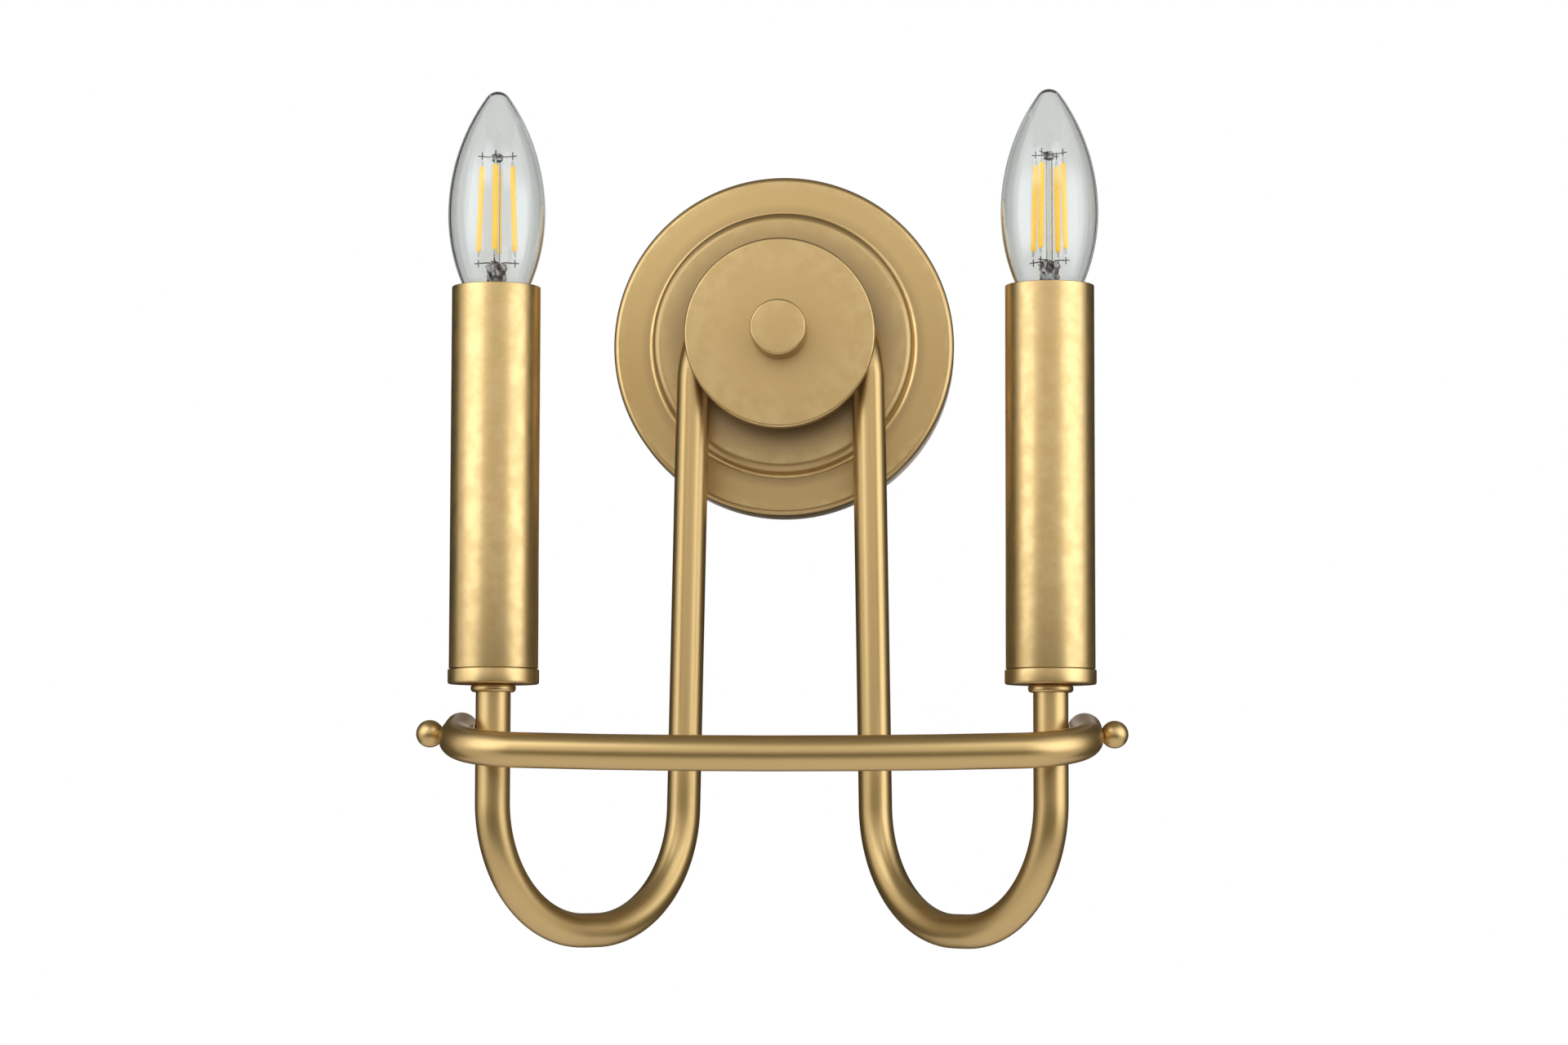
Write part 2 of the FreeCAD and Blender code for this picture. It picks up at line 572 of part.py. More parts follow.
def socket_bracket(side):
    """An upright strap with a foot round the nipple; it stands on the side nearer the canopy's middle."""
    axis = candle_point(side, 0)
    leg_outer = BRACKET_LEG_X + BRACKET_THICKNESS
    foot_length = leg_outer + BRACKET_TOE
    foot_x = -leg_outer if side > 0 else -BRACKET_TOE
    leg_x = -leg_outer if side > 0 else BRACKET_LEG_X
    half_width = BRACKET_WIDTH / 2
    foot = Part.makeBox(foot_length, BRACKET_WIDTH, BRACKET_THICKNESS,
                        axis + Vector(foot_x, -half_width, BRACKET_BOTTOM))
    leg = Part.makeBox(BRACKET_THICKNESS, BRACKET_WIDTH, BRACKET_TOP - BRACKET_BOTTOM,
                       axis + Vector(leg_x, -half_width, BRACKET_BOTTOM))
    bracket = foot.fuse(leg).removeSplitter()
    bracket = bracket.cut(cylinder(NIPPLE_R + PASS_CLEARANCE, candle_point(side, BRACKET_BOTTOM - 1),
                                   candle_point(side, BRACKET_BOTTOM + BRACKET_THICKNESS + 1)))
    screw_axis = candle_point(side, BRACKET_SCREW_HEIGHT)
    beyond_leg = screw_axis - X_AXIS * (side * leg_outer * 2)
    return bracket.cut(cylinder(BRACKET_SCREW_R + FIXED_FIT, screw_axis, beyond_leg))


def bracket_screws():
    screws = []
    leg_outer = BRACKET_LEG_X + BRACKET_THICKNESS
    for side in SIDES.values():
        seat = candle_point(side, BRACKET_SCREW_HEIGHT) - X_AXIS * (side * leg_outer)
        tip = seat + X_AXIS * (side * BRACKET_SCREW_LENGTH)
        head = seat - X_AXIS * (side * BRACKET_THICKNESS)
        screws.append(cylinder(BRACKET_SCREW_R, seat, tip).fuse(cylinder(BRACKET_SCREW_HEAD_R, head, seat)))
    return Part.makeCompound(screws)


def socket_body(side):
    bore_r = SHELL_R + FIXED_FIT
    body = turned_on_candle(side, [(bore_r, HOLDER_TOP), (HOLDER_R, HOLDER_TOP, 0.8),
                                   (HOLDER_R, HOLDER_BOTTOM, 0.8), (0, HOLDER_BOTTOM), (0, CHAMBER_BOTTOM),
                                   (HOLDER_CHAMBER_R, CHAMBER_BOTTOM), (HOLDER_CHAMBER_R, HOLDER_BORE_BOTTOM),
                                   (bore_r, HOLDER_BORE_BOTTOM)])
    for pole in (-1, 1):
        hole_start = candle_point(side, HOLDER_BOTTOM) + arm_across(side) * (pole * LEAD_SPREAD_AT_HOLDER)
        body = body.cut(cylinder(LEAD_R + FIXED_FIT, hole_start, hole_start + UP * LEAD_HOLE_DEPTH))
    screw_axis = candle_point(side, BRACKET_SCREW_HEIGHT)
    screw_tip_x = BRACKET_LEG_X + BRACKET_THICKNESS - BRACKET_SCREW_LENGTH
    screw_hole = cylinder(BRACKET_SCREW_R + FIXED_FIT, screw_axis - X_AXIS * (side * screw_tip_x),
                          screw_axis - X_AXIS * (side * 2 * HOLDER_R))
    return body.cut(screw_hole).cut(tongue_solid(side, FIXED_FIT))


def socket_shell(side):
    bottom = HOLDER_TOP - SHELL_LENGTH
    return turned_on_candle(side, [(SHELL_BORE_R, bottom), (SHELL_R, bottom), (SHELL_R, HOLDER_TOP),
                                   (SHELL_BORE_R, HOLDER_TOP)])


def tongue_solid(side, grow):
    """The spring tongue's upright leg and its flat top; grow makes the slot that holds it."""
    width = TONGUE_WIDTH + 2 * grow
    axis = candle_point(side, 0)
    top = Part.makeBox(TONGUE_LENGTH + grow, width, TONGUE_THICKNESS + grow,
                       axis + Vector(-TONGUE_LEG_X, -width / 2, TONGUE_TOP - TONGUE_THICKNESS))
    leg = Part.makeBox(TONGUE_THICKNESS + grow, width, TONGUE_LEG_LENGTH + grow,
                       axis + Vector(TONGUE_LEG_X - TONGUE_THICKNESS, -width / 2,
                                     TONGUE_TOP - TONGUE_LEG_LENGTH - grow))
    return top.fuse(leg).removeSplitter()


def socket_contact(side):
    return tongue_solid(side, 0)


# ---- Bulb ----

def glass_outline(thinner):
    """Edges of the glass profile from its tip to its shoulder, drawn thinner than the outside by a wall."""
    lower_centre = (BULB_R - BULB_LOWER_ARC_R, BULB_WIDEST)
    upper_centre = (BULB_R - BULB_UPPER_ARC_R, BULB_WIDEST)
    upper_r = BULB_UPPER_ARC_R - thinner
    lower_r = BULB_LOWER_ARC_R - thinner
    tip_r = BULB_TIP_R - thinner
    tip_height = BULB_WIDEST + math.sqrt((BULB_UPPER_ARC_R - BULB_TIP_R) ** 2 - upper_centre[0] ** 2)
    tip_angle = math.atan2(tip_height - BULB_WIDEST, -upper_centre[0])
    shoulder_angle = -math.acos((BULB_SHOULDER_R - thinner - lower_centre[0]) / lower_r)
    tip = arc_points((0, tip_height), tip_r, math.pi / 2, tip_angle)
    upper = arc_points(upper_centre, upper_r, tip_angle, 0)
    lower = arc_points(lower_centre, lower_r, 0, shoulder_angle)
    return [tip, upper, lower]


def arc_points(centre, radius, first, last):
    """Start, middle and end of an arc, as (radius, height) pairs."""
    points = []
    for angle in (first, (first + last) / 2, last):
        points.append((centre[0] + radius * math.cos(angle), centre[1] + radius * math.sin(angle)))
    return points


def bulb_glass(side):
    axis = candle_point(side, 0)

    def place(pair):
        return axis + Vector(pair[0], 0, pair[1])

    outer = glass_outline(0)
    inner = glass_outline(BULB_GLASS_WALL)
    edges = []
    for arc in outer + inner:
        edges.append(Part.Arc(*[place(pair) for pair in arc]).toShape())
    shoulder = outer[-1][-1]
    inner_shoulder = inner[-1][-1]
    neck_bottom = shoulder[1] - BULB_NECK_LENGTH
    neck_inner_r = BULB_NECK_R - BULB_GLASS_WALL
    rim = [shoulder, (BULB_NECK_R, shoulder[1]), (BULB_NECK_R, neck_bottom), (neck_inner_r, neck_bottom),
           (neck_inner_r, inner_shoulder[1]), inner_shoulder]
    for start, end in zip(rim[:-1], rim[1:]):
        edges.append(Part.LineSegment(place(start), place(end)).toShape())
    edges.append(Part.LineSegment(place(inner[0][0]), place(outer[0][0])).toShape())
    profile = Part.Wire(Part.__sortEdges__(edges))
    return Part.Face(profile).revolve(axis, UP, 360)


def bulb_base(side):
    """The screw base: rolled thread rings on a thin shell."""
    inner_r = BASE_R - THREAD_DEPTH - BASE_WALL
    neck_bottom = BASE_TOP - BULB_NECK_LENGTH
    outline = [(BULB_NECK_R + FIXED_FIT, BASE_TOP), (BASE_R, BASE_TOP)]
    crest = BASE_TOP - BULB_NECK_LENGTH
    while crest - THREAD_PITCH > BASE_BOTTOM:
        outline.append((BASE_R, crest, 0.4))
        outline.append((BASE_R - THREAD_DEPTH, crest - THREAD_PITCH / 4, 0.2))
        outline.append((BASE_R - THREAD_DEPTH, crest - THREAD_PITCH / 2, 0.2))
        outline.append((BASE_R, crest - 3 * THREAD_PITCH / 4, 0.4))
        crest -= THREAD_PITCH
    outline += [(BASE_R - THREAD_DEPTH, BASE_BOTTOM), (inner_r, BASE_BOTTOM), (inner_r, neck_bottom),
                (BULB_NECK_R + FIXED_FIT, neck_bottom)]
    return turned_on_candle(side, outline)


def bulb_insulator(side):
    return turned_on_candle(side, [(0, BASE_BOTTOM), (INSULATOR_TOP_R, BASE_BOTTOM),
                                   (INSULATOR_R, INSULATOR_BOTTOM), (0, INSULATOR_BOTTOM)])


def bulb_contact(side):
    return turned_on_candle(side, [(0, INSULATOR_BOTTOM), (CONTACT_R, INSULATOR_BOTTOM),
                                   (CONTACT_R, CONTACT_BOTTOM, 1.2), (0, CONTACT_BOTTOM)])


def bulb_stem(side):
    """The flared glass stem and its thin rod, rising from the glass neck."""
    stem_bottom = BASE_TOP - BULB_NECK_LENGTH
    rod_top = UPPER_WIRE + STEM_ROD_ABOVE_WIRE
    flare_r = BULB_NECK_R - BULB_GLASS_WALL - FIXED_FIT
    waist = (stem_bottom + STEM_TOP) / 2
    bore_r = STEM_WAIST_R - STEM_WALL
    return turned_on_candle(side, [(bore_r, stem_bottom), (flare_r, stem_bottom), (STEM_WAIST_R, waist, 8.0),
                                   (STEM_R, STEM_TOP - 1.5, 1.5), (STEM_ROD_R, STEM_TOP, 0.8),
                                   (STEM_ROD_R, rod_top, 0.5), (0, rod_top), (0, STEM_TOP - 2.5),
                                   (bore_r, STEM_TOP - 3.5)])


def filament_direction(side, index):
    """Level direction from the bulb's axis to one filament; with no turn the first stands at the front."""
    angle = math.radians(-90 + FILAMENT_TURN[side] + index * 360 / FILAMENT_COUNT)
    return Vector(math.cos(angle), math.sin(angle), 0)


def filament_ends(side, index):
    heading = filament_direction(side, index)
    foot = candle_point(side, FILAMENT_FOOT) + heading * FILAMENT_FOOT_RADIUS
    head = candle_point(side, FILAMENT_HEAD) + heading * FILAMENT_HEAD_RADIUS
    return foot, head


def bulb_filaments(side):
    strips = []
    for index in range(FILAMENT_COUNT):
        foot, head = filament_ends(side, index)
        strips.append(cylinder(FILAMENT_R, foot, head))
    return Part.makeCompound(strips)


def bulb_wires(side):
    """Spoked support wires: one spider above the filaments and one below, each with a hub on the rod."""
    spiders = []
    for height, end in ((LOWER_WIRE, 0), (UPPER_WIRE, 1)):
        centre = candle_point(side, height)
        hub_half = UP * (1.5 * SUPPORT_WIRE_R)
        hub_r = STEM_ROD_R + FIXED_FIT
        spider = cylinder(hub_r + 2 * SUPPORT_WIRE_R, centre - hub_half, centre + hub_half)
        beyond = UP * (SUPPORT_WIRE_OVERHANG * (1 if end else -1))
        for index in range(FILAMENT_COUNT):
            tip = filament_ends(side, index)[end]
            corner = Vector(tip.x, tip.y, centre.z)
            heading = filament_direction(side, index)
            spoke_end = corner + heading * SUPPORT_WIRE_OVERHANG
            spider = spider.fuse(cylinder(SUPPORT_WIRE_R, centre + heading * hub_r, spoke_end))
            spider = spider.fuse(cylinder(SUPPORT_WIRE_R * 0.8, corner + beyond, tip))
        spiders.append(spider.cut(cylinder(hub_r, centre - hub_half * 2, centre + hub_half * 2)))
    return Part.makeCompound(spiders)


# ---- Crossbar and its screws ----

def bar_path():
    """The bar's axis, drawn level and then drooped about the screws' axis."""
    corner_x = BAR_END_X - BAR_CORNER_R
    bow_centre_reach = BAR_REACH - BAR_BOW_R
    corner_reach = bow_centre_reach + math.sqrt((BAR_BOW_R - BAR_CORNER_R) ** 2 - corner_x ** 2)
    turn = math.atan2(corner_reach - bow_centre_reach, corner_x)

    def point(x, reach):
        return PIVOT + Vector(x, -reach, 0)

    def corner_point(side, angle):
        reach = corner_reach + BAR_CORNER_R * math.sin(angle)
        return point(side * (corner_x + BAR_CORNER_R * math.cos(angle)), reach)

    edges = []
    edges.append(Part.LineSegment(point(-BAR_END_X, -BAR_TAIL), point(-BAR_END_X, corner_reach)).toShape())
    edges.append(Part.Arc(corner_point(-1, 0), corner_point(-1, turn / 2), corner_point(-1, turn)).toShape())
    edges.append(Part.Arc(corner_point(-1, turn), point(0, BAR_REACH), corner_point(1, turn)).toShape())
    edges.append(Part.Arc(corner_point(1, turn), corner_point(1, turn / 2), corner_point(1, 0)).toShape())
    edges.append(Part.LineSegment(point(BAR_END_X, corner_reach), point(BAR_END_X, -BAR_TAIL)).toShape())
    return Part.Wire(edges)


def drooped(shape):
    """Turned down about the screws' axis to the angle at which the bar is clamped."""
    shape.rotate(PIVOT, X_AXIS, BAR_DROOP)
    return shape


def crossbar():
    path = bar_path()
    bar = tube_along(path, TUBE_R).cut(tube_along(path, TUBE_R - BAR_WALL))
    for side in SIDES.values():
        inner = PIVOT + X_AXIS * (side * INNER_SPOT_X)
        outer = PIVOT + X_AXIS * (side * SCREW_SEAT_X)
        bar = bar.cut(cylinder(INNER_SPOT_R, inner - X_AXIS * (side * TUBE_R), inner))
        bar = bar.cut(cylinder(OUTER_SPOT_R, outer, outer + X_AXIS * (side * TUBE_R)))
        bar = bar.cut(cylinder(SCREW_R + RUNNING_FIT, inner - X_AXIS * (side * TUBE_R),
                               outer + X_AXIS * (side * TUBE_R)))
    return drooped(bar)


def crossbar_plugs():
    """Turned caps that close the bar's two ends."""
    plugs = []
    spigot_r = TUBE_R - BAR_WALL - FIXED_FIT
    spigot_end = PLUG_CAP - PLUG_LENGTH
    for side in SIDES.values():
        bar_end = PIVOT + Vector(side * BAR_END_X, BAR_TAIL, 0)
        outline = [(0, spigot_end), (spigot_r, spigot_end), (spigot_r, 0), (TUBE_R, 0),
                   (TUBE_R, PLUG_CAP, PLUG_EDGE_R), (0, PLUG_CAP)]
        plugs.append(drooped(turned(outline, bar_end, OUT * -1)))
    return Part.makeCompound(plugs)


def ball_screws():
    """A ball head on a short neck, with a shank through the bar's end into the arm."""
    neck_reach = math.sqrt(BALL_R ** 2 - BALL_NECK_R ** 2)
    seat_x = SCREW_SEAT_X + SEAT_GAP
    ball_x = seat_x + BALL_NECK_LENGTH + neck_reach
    tip_x = TUBE_SIDE_X - TUBE_WALL - SCREW_TIP_IN_TUBE
    shank = [(0, tip_x), (SCREW_R, tip_x), (SCREW_R, seat_x), (BALL_NECK_R, seat_x),
             (BALL_NECK_R, ball_x - neck_reach)]
    screws = []
    for side in SIDES.values():
        points = [PIVOT + Vector(side * x, 0, radius) for radius, x in shank]
        crown = PIVOT + Vector(side * ball_x, 0, BALL_R)
        pole = PIVOT + Vector(side * (ball_x + BALL_R), 0, 0)
        edges = [Part.LineSegment(start, end).toShape() for start, end in zip(points[:-1], points[1:])]
        edges.append(Part.Arc(points[-1], crown, pole).toShape())
        edges.append(Part.LineSegment(pole, points[0]).toShape())
        screws.append(Part.Face(Part.Wire(edges)).revolve(PIVOT, X_AXIS, 360))
    return Part.makeCompound(screws)


def pivot_washers():
    washers = []
    for side in SIDES.values():
        inner = PIVOT + X_AXIS * (side * (TUBE_SIDE_X + SEAT_GAP))
        outer = inner + X_AXIS * (side * PIVOT_WASHER_THICKNESS)
        hole = cylinder(SCREW_R + FIXED_FIT, inner, outer)
        washers.append(cylinder(PIVOT_WASHER_R, inner, outer).cut(hole))
    return Part.makeCompound(washers)


# ---- Wiring ----

def lead_wire(side, pole):
    """One insulated lead, from its connector in the canopy through the arm to the lamp holder."""
    shift = pole * LEAD_SPREAD
    across = arm_across(side)
    pair_x = side * LEAD_PAIR_X
    connector_end = pole * (CONNECTOR_MOUTH_HEIGHT + CONNECTOR_BORE_LENGTH - LEAD_R)
    holder_entry = candle_point(side, HOLDER_BOTTOM + LEAD_HOLE_DEPTH - LEAD_R)
    corners = [(at(pair_x, CONNECTOR_DEPTH, connector_end), 0),
               (at(pair_x, CONNECTOR_DEPTH, pole * LEAD_TURN_HEIGHT), LEAD_BEND_R),
               (at(side * (INLET_X + shift), LEAD_INLET_DEPTH, 0), LEAD_INLET_BEND_R)]
    corners += arm_corners(side, shift)
    corners += [(candle_point(side, LEAD_FAN_START) + across * shift, LEAD_FAN_R),
                (candle_point(side, LEAD_FAN_END) + across * (pole * LEAD_SPREAD_AT_HOLDER), LEAD_FAN_R),
                (holder_entry + across * (pole * LEAD_SPREAD_AT_HOLDER), 0)]
    return tube_along(rounded_wire(corners), LEAD_R)


def wire_connector(pole):
    """A twist-on connector that joins the two arms' leads of one pole."""
    start = at(0, CONNECTOR_DEPTH, pole * CONNECTOR_MOUTH_HEIGHT)
    outline = [(CONNECTOR_BORE_R, 0), (CONNECTOR_MOUTH_R, 0, 0.8), (CONNECTOR_TIP_R, CONNECTOR_LENGTH, 1.5),
               (0, CONNECTOR_LENGTH), (0, CONNECTOR_BORE_LENGTH), (CONNECTOR_BORE_R, CONNECTOR_BORE_LENGTH)]
    return turned(outline, start, UP * pole)


def write(name, shape):
    shape.exportStep(os.path.join("parts", name + ".step"))


def main():
    os.makedirs("parts", exist_ok=True)
    single = [mounting_strap, ground_screw, center_stud, stud_lock_nut, canopy, hub_spacer, cover_disc,
              knob_washer, knob, arm_lock_washers, arm_lock_nuts, candle_lock_nuts, bracket_screws,
              crossbar, crossbar_plugs, ball_screws, pivot_washers]
    for make in single:
        write(make.__name__, make())
    paired = [arm_tube, candle_collar, candle_cup, candle_nipple, candle_sleeve, socket_bracket, socket_body,
              socket_shell, socket_contact, bulb_glass, bulb_base, bulb_insulator, bulb_contact, bulb_stem,
              bulb_filaments, bulb_wires]
    for make in paired:
        for side_name, side in SIDES.items():
            write(make.__name__ + "_" + side_name, make(side))
    for pole_name, pole in (("live", 1), ("neutral", -1)):
        write("wire_connector_" + pole_name, wire_connector(pole))
        for side_name, side in SIDES.items():
            write("lead_" + pole_name + "_" + side_name, lead_wire(side, pole))


main()
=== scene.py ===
import math
from collections import namedtuple

import bmesh
import bpy
import numpy as np
from bpy.props import FloatProperty, FloatVectorProperty, IntProperty, PointerProperty
from mathutils import Matrix, Vector


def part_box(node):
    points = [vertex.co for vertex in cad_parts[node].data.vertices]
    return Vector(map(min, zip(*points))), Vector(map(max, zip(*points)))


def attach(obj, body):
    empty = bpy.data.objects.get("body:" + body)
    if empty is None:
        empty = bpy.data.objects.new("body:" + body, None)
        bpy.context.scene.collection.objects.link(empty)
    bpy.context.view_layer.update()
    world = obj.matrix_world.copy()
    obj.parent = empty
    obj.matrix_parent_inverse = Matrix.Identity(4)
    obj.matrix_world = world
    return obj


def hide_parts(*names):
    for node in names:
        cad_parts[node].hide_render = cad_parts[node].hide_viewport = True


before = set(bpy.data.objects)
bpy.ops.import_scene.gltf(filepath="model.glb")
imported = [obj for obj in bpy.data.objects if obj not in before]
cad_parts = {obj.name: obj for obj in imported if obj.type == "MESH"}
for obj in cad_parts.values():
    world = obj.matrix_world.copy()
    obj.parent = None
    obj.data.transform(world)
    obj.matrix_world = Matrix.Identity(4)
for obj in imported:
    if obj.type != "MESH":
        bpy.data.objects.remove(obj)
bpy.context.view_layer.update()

bl_info = {
    "name": "Double Arm Wall Sconce",
    "version": (1, 0, 0),
    "blender": (4, 5, 0),
    "location": "View3D > Sidebar > Sconce",
    "description": "Models and paints a two-candle wall sconce round its packed frame",
    "category": "Object",
}

MM = 0.001
X = Vector((1, 0, 0))
UP = Vector((0, 0, 1))
OUT = Vector((0, -1, 0))
SIDES = {"left": -1, "right": 1}

# Turned and bent work
TURN_STEPS = 192
ROUNDING_STEPS = 6
BALL_STEPS = 40
TUBE_SIDES = 72
CUTTER_SIDES = 48
WIRE_SIDES = 8
BEND_STEP = math.radians(3)
FEWEST_BEND_STEPS = 3
SAME_PLACE = 2e-6
CORNER_MARK_REACH = 1.05

# Roundings of turned edges
CRISP_EDGE = 0.2 * MM
BROKEN_EDGE = 0.3 * MM
EASED_EDGE = 0.4 * MM
ROUNDED_EDGE = 0.5 * MM

# Fits between pieces
PASS_CLEARANCE = 0.2 * MM
FIXED_FIT = 0.03 * MM
RUNNING_FIT = 0.06 * MM

# Inside a bulb: how deep the glass goes into its base, how far the strips' feet and heads stand
# from the axis and by how much they lean, and how far the spokes lie below and above the strips
NECK_DEPTH = 4.0 * MM
FOOT_SPREAD = 6.7 * MM
HEAD_SPREAD = 5.6 * MM
STRIP_LEAN = 1.1 * MM
SPOKE_DROP = 4.3 * MM
SPOKE_RISE = 3.8 * MM

# The crossbar's tube
BAR_WALL = 1.5 * MM

# Stage, in metres and radians
FLOOR_HEIGHT = -0.62
CAMERA_PLACE = (0.06036, -1.58995, -0.19371)
CAMERA_SIGHT = Vector((-0.03817, 0.99616, 0.07892))
CAMERA_ROLL = 0.0023


def length(name, description, default):
    """A size in metres for a property group."""
    return FloatProperty(name=name, description=description, default=default, unit="LENGTH", precision=5)


def power(name, description, default):
    """A lamp's power in watts for a property group."""
    return FloatProperty(name=name, description=description, default=default, unit="POWER")


def colour(name, description, default):
    """A linear colour for a property group."""
    return FloatVectorProperty(name=name, description=description, default=default, subtype="COLOR",
                               size=3, min=0.0, max=1.0)


def box_radius(node):
    """Half the width of a node that is turned about an upright or outward axis."""
    low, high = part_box(node)
    return (high.x - low.x) / 2


class SconceCanopySizes(bpy.types.PropertyGroup):
    radius: length("Radius", "Canopy's outside radius", box_radius("canopy"))
    wall: length("Wall", "Thickness of the spun sheet", 1.2 * MM)
    flange_depth: length("Flange depth", "Depth of the flat outer ring", 22.5 * MM)
    shoulder: length("Shoulder", "Rounding between the rim's side and the flange", 2.2 * MM)
    cove: length("Cove", "Rounding between the flange and the step", 2.0 * MM)
    face_radius: length("Face radius", "Radius of the raised face", 50.8 * MM)
    face_depth: length("Face depth", "How far the raised face stands out", -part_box("canopy")[0].y)
    face_edge: length("Face edge", "Rounding of the raised face's edge", 3.5 * MM)


class SconceCoverSizes(bpy.types.PropertyGroup):
    disc_radius: length("Disc radius", "Radius of the cover disc", box_radius("cover_disc"))
    disc_depth: length("Disc depth", "How far the disc's face stands out", -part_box("cover_disc")[0].y)
    disc_rim: length("Disc rim", "Height of the disc's turned-back rim", 6.0 * MM)
    disc_wall: length("Disc wall", "Thickness of the disc", 1.6 * MM)
    knob_radius: length("Knob radius", "Radius of the knob", box_radius("knob"))
    knob_back: length("Knob back", "Depth of the knob's back face", -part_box("knob")[1].y)
    knob_front: length("Knob front", "Depth of the knob's front face", -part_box("knob")[0].y)
    stud_radius: length("Stud radius", "Radius of the centre stud", 3.175 * MM)


class SconceArmSizes(bpy.types.PropertyGroup):
    tube_radius: length("Tube radius", "Outside radius of the arm tube", 6.35 * MM)
    tube_wall: length("Tube wall", "Wall of the arm tube", 1.2 * MM)
    inlet_x: length("Inlet place", "Sideways place where an arm leaves the canopy", 32.0 * MM)
    splay: length("Splay", "How far outward of the inlet the inner leg's top stands", 1.7 * MM)
    leg_depth: length("Leg depth", "Depth of the inner leg's top", 49.7 * MM)
    elbow_radius: length("Elbow radius", "Bend radius of the elbow", 13.4 * MM)
    foot_x: length("Foot place", "Sideways place of the inner leg's foot", 37.3 * MM)
    foot_depth: length("Foot depth", "Depth of the inner leg's foot", 54.5 * MM)
    u_drop: length("U drop", "From the tube's upright end to the lowest axis point", 86.78 * MM)
    u_straight: length("U straight", "Level run between the U's two bends", 7.0 * MM)
    candle_x: length("Candle place", "Sideways place of a candle's axis", 101.0 * MM)
    candle_depth: length("Candle depth", "Depth of a candle's axis", 131.5 * MM)
    top: length("Tube top", "Height of the tube's upright end", -139.9 * MM)


class SconceCandleSizes(bpy.types.PropertyGroup):
    collar_radius: length("Collar radius", "Radius of the collar under the cup",
                          box_radius("candle_collar_left"))
    cup_radius: length("Cup radius", "Radius of the candle cup", box_radius("candle_cup_left"))
    sleeve_radius: length("Sleeve radius", "Outside radius of the candle sleeve",
                          box_radius("candle_sleeve_left"))
    sleeve_wall: length("Sleeve wall", "Wall of the candle sleeve", 1.0 * MM)
    sleeve_bottom: length("Sleeve bottom", "Height of the sleeve's lower edge",
                          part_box("candle_sleeve_left")[0].z)
    sleeve_top: length("Sleeve top", "Height of the sleeve's upper edge",
                       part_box("candle_sleeve_left")[1].z)


class SconceBulbSizes(bpy.types.PropertyGroup):
    radius: length("Bulb radius", "Widest radius of the glass", box_radius("bulb_glass_left"))
    widest: length("Widest above sleeve", "Height of the widest ring above the sleeve", 26.9 * MM)
    lower_arc: length("Lower arc", "Radius of the arc below the widest ring", 66.3 * MM)
    upper_arc: length("Upper arc", "Radius of the arc above the widest ring", 75.8 * MM)
    tip_radius: length("Tip radius", "Radius of the rounded tip", 5.0 * MM)
    shoulder: length("Shoulder radius", "Radius where the glass meets its base", 6.6 * MM)
    neck: length("Neck radius", "Radius of the glass neck in the base", 5.3 * MM)
    wall: length("Glass wall", "Thickness of the glass", 0.8 * MM)
    filament_length: length("Filament length", "Length of one filament strip", 31.6 * MM)
    filament_radius: length("Filament radius", "Radius of one filament strip", 1.0 * MM)
    filaments: IntProperty(name="Filaments", description="Filament strips in each bulb", default=4, min=1)


class SconceCrossbarSizes(bpy.types.PropertyGroup):
    reach: length("Reach", "From the pivot to the front of the bow", 40.95 * MM)
    tail: length("Tail", "How far the bar runs behind the pivot", 9.0 * MM)
    corner_radius: length("Corner radius", "Bend radius at each front corner", 28.0 * MM)
    bow_radius: length("Bow radius", "Radius of the front tube's bow", 620.0 * MM)
    droop: FloatProperty(name="Droop", description="Angle below level", default=math.radians(11),
                         unit="ROTATION")
    pivot_height: length("Pivot height", "Height of the pivot screws", -155.0 * MM)
    ball_radius: length("Ball radius", "Radius of the ball heads", 5.0 * MM)


class SconceFinishColours(bpy.types.PropertyGroup):
    gold: colour("Gold", "Satin gold paint", (0.500, 0.322, 0.104))
    gold_pale: colour("Pale gold", "Gold where the paint is thin or rubbed", (0.590, 0.410, 0.165))
    # Deep gold also colours the painted shade in hollow corners and, darkened, the painted shadow round the
    # cover disc.
    gold_deep_and_shade: colour("Deep gold", "Gold in corners and recesses", (0.300, 0.175, 0.055))
    steel: colour("Steel", "Zinc-plated steel", (0.560, 0.570, 0.580))
    brass: colour("Brass", "Bare machined brass", (0.720, 0.520, 0.220))
    nickel: colour("Nickel", "Bright nickel plating", (0.640, 0.610, 0.560))
    glass: colour("Glass", "Clear bulb glass", (0.965, 0.975, 0.970))
    glass_depth: colour("Glass depth", "What thick glass takes its grey from", (0.510, 0.525, 0.500))
    phosphor: colour("Phosphor", "Amber filament coating", (1.000, 0.580, 0.030))
    holder: colour("Holder", "Moulded lamp holder", (0.050, 0.036, 0.028))
    ground_screw: colour("Ground screw", "Green painted screw", (0.015, 0.170, 0.040))
    lead_black: colour("Black lead", "Live lead's insulation", (0.014, 0.014, 0.015))
    lead_white: colour("White lead", "Neutral lead's insulation", (0.700, 0.690, 0.650))
    connector: colour("Connector", "Twist-on connector", (0.640, 0.120, 0.020))


class SconceStageSettings(bpy.types.PropertyGroup):
    lens: FloatProperty(name="Lens", description="Camera's focal length in millimetres", default=92.55,
                        unit="CAMERA")
    left_lamp: power("Left lamp", "Power of the left lamp", 2.9)
    right_lamp: power("Right lamp", "Power of the right lamp", 5.4)
    upper_lamp: power("Upper lamps", "Power of the upper left lamp", 1.8)
    lamp_tone: colour("Lamp tone", "Slightly cool light of every lamp", (0.870, 0.955, 1.000))
    fill: FloatProperty(name="Fill", description="Strength of the room's light on the object", default=0.60)
    floor: colour("Floor", "Pale floor", (0.860, 0.855, 0.845))
    dark_card: colour("Dark card", "Cards beside, before and behind the object", (0.030, 0.026, 0.022))
    grey_card: colour("Grey card", "Card above the object", (0.260, 0.250, 0.235))


# ---- Shaders ----

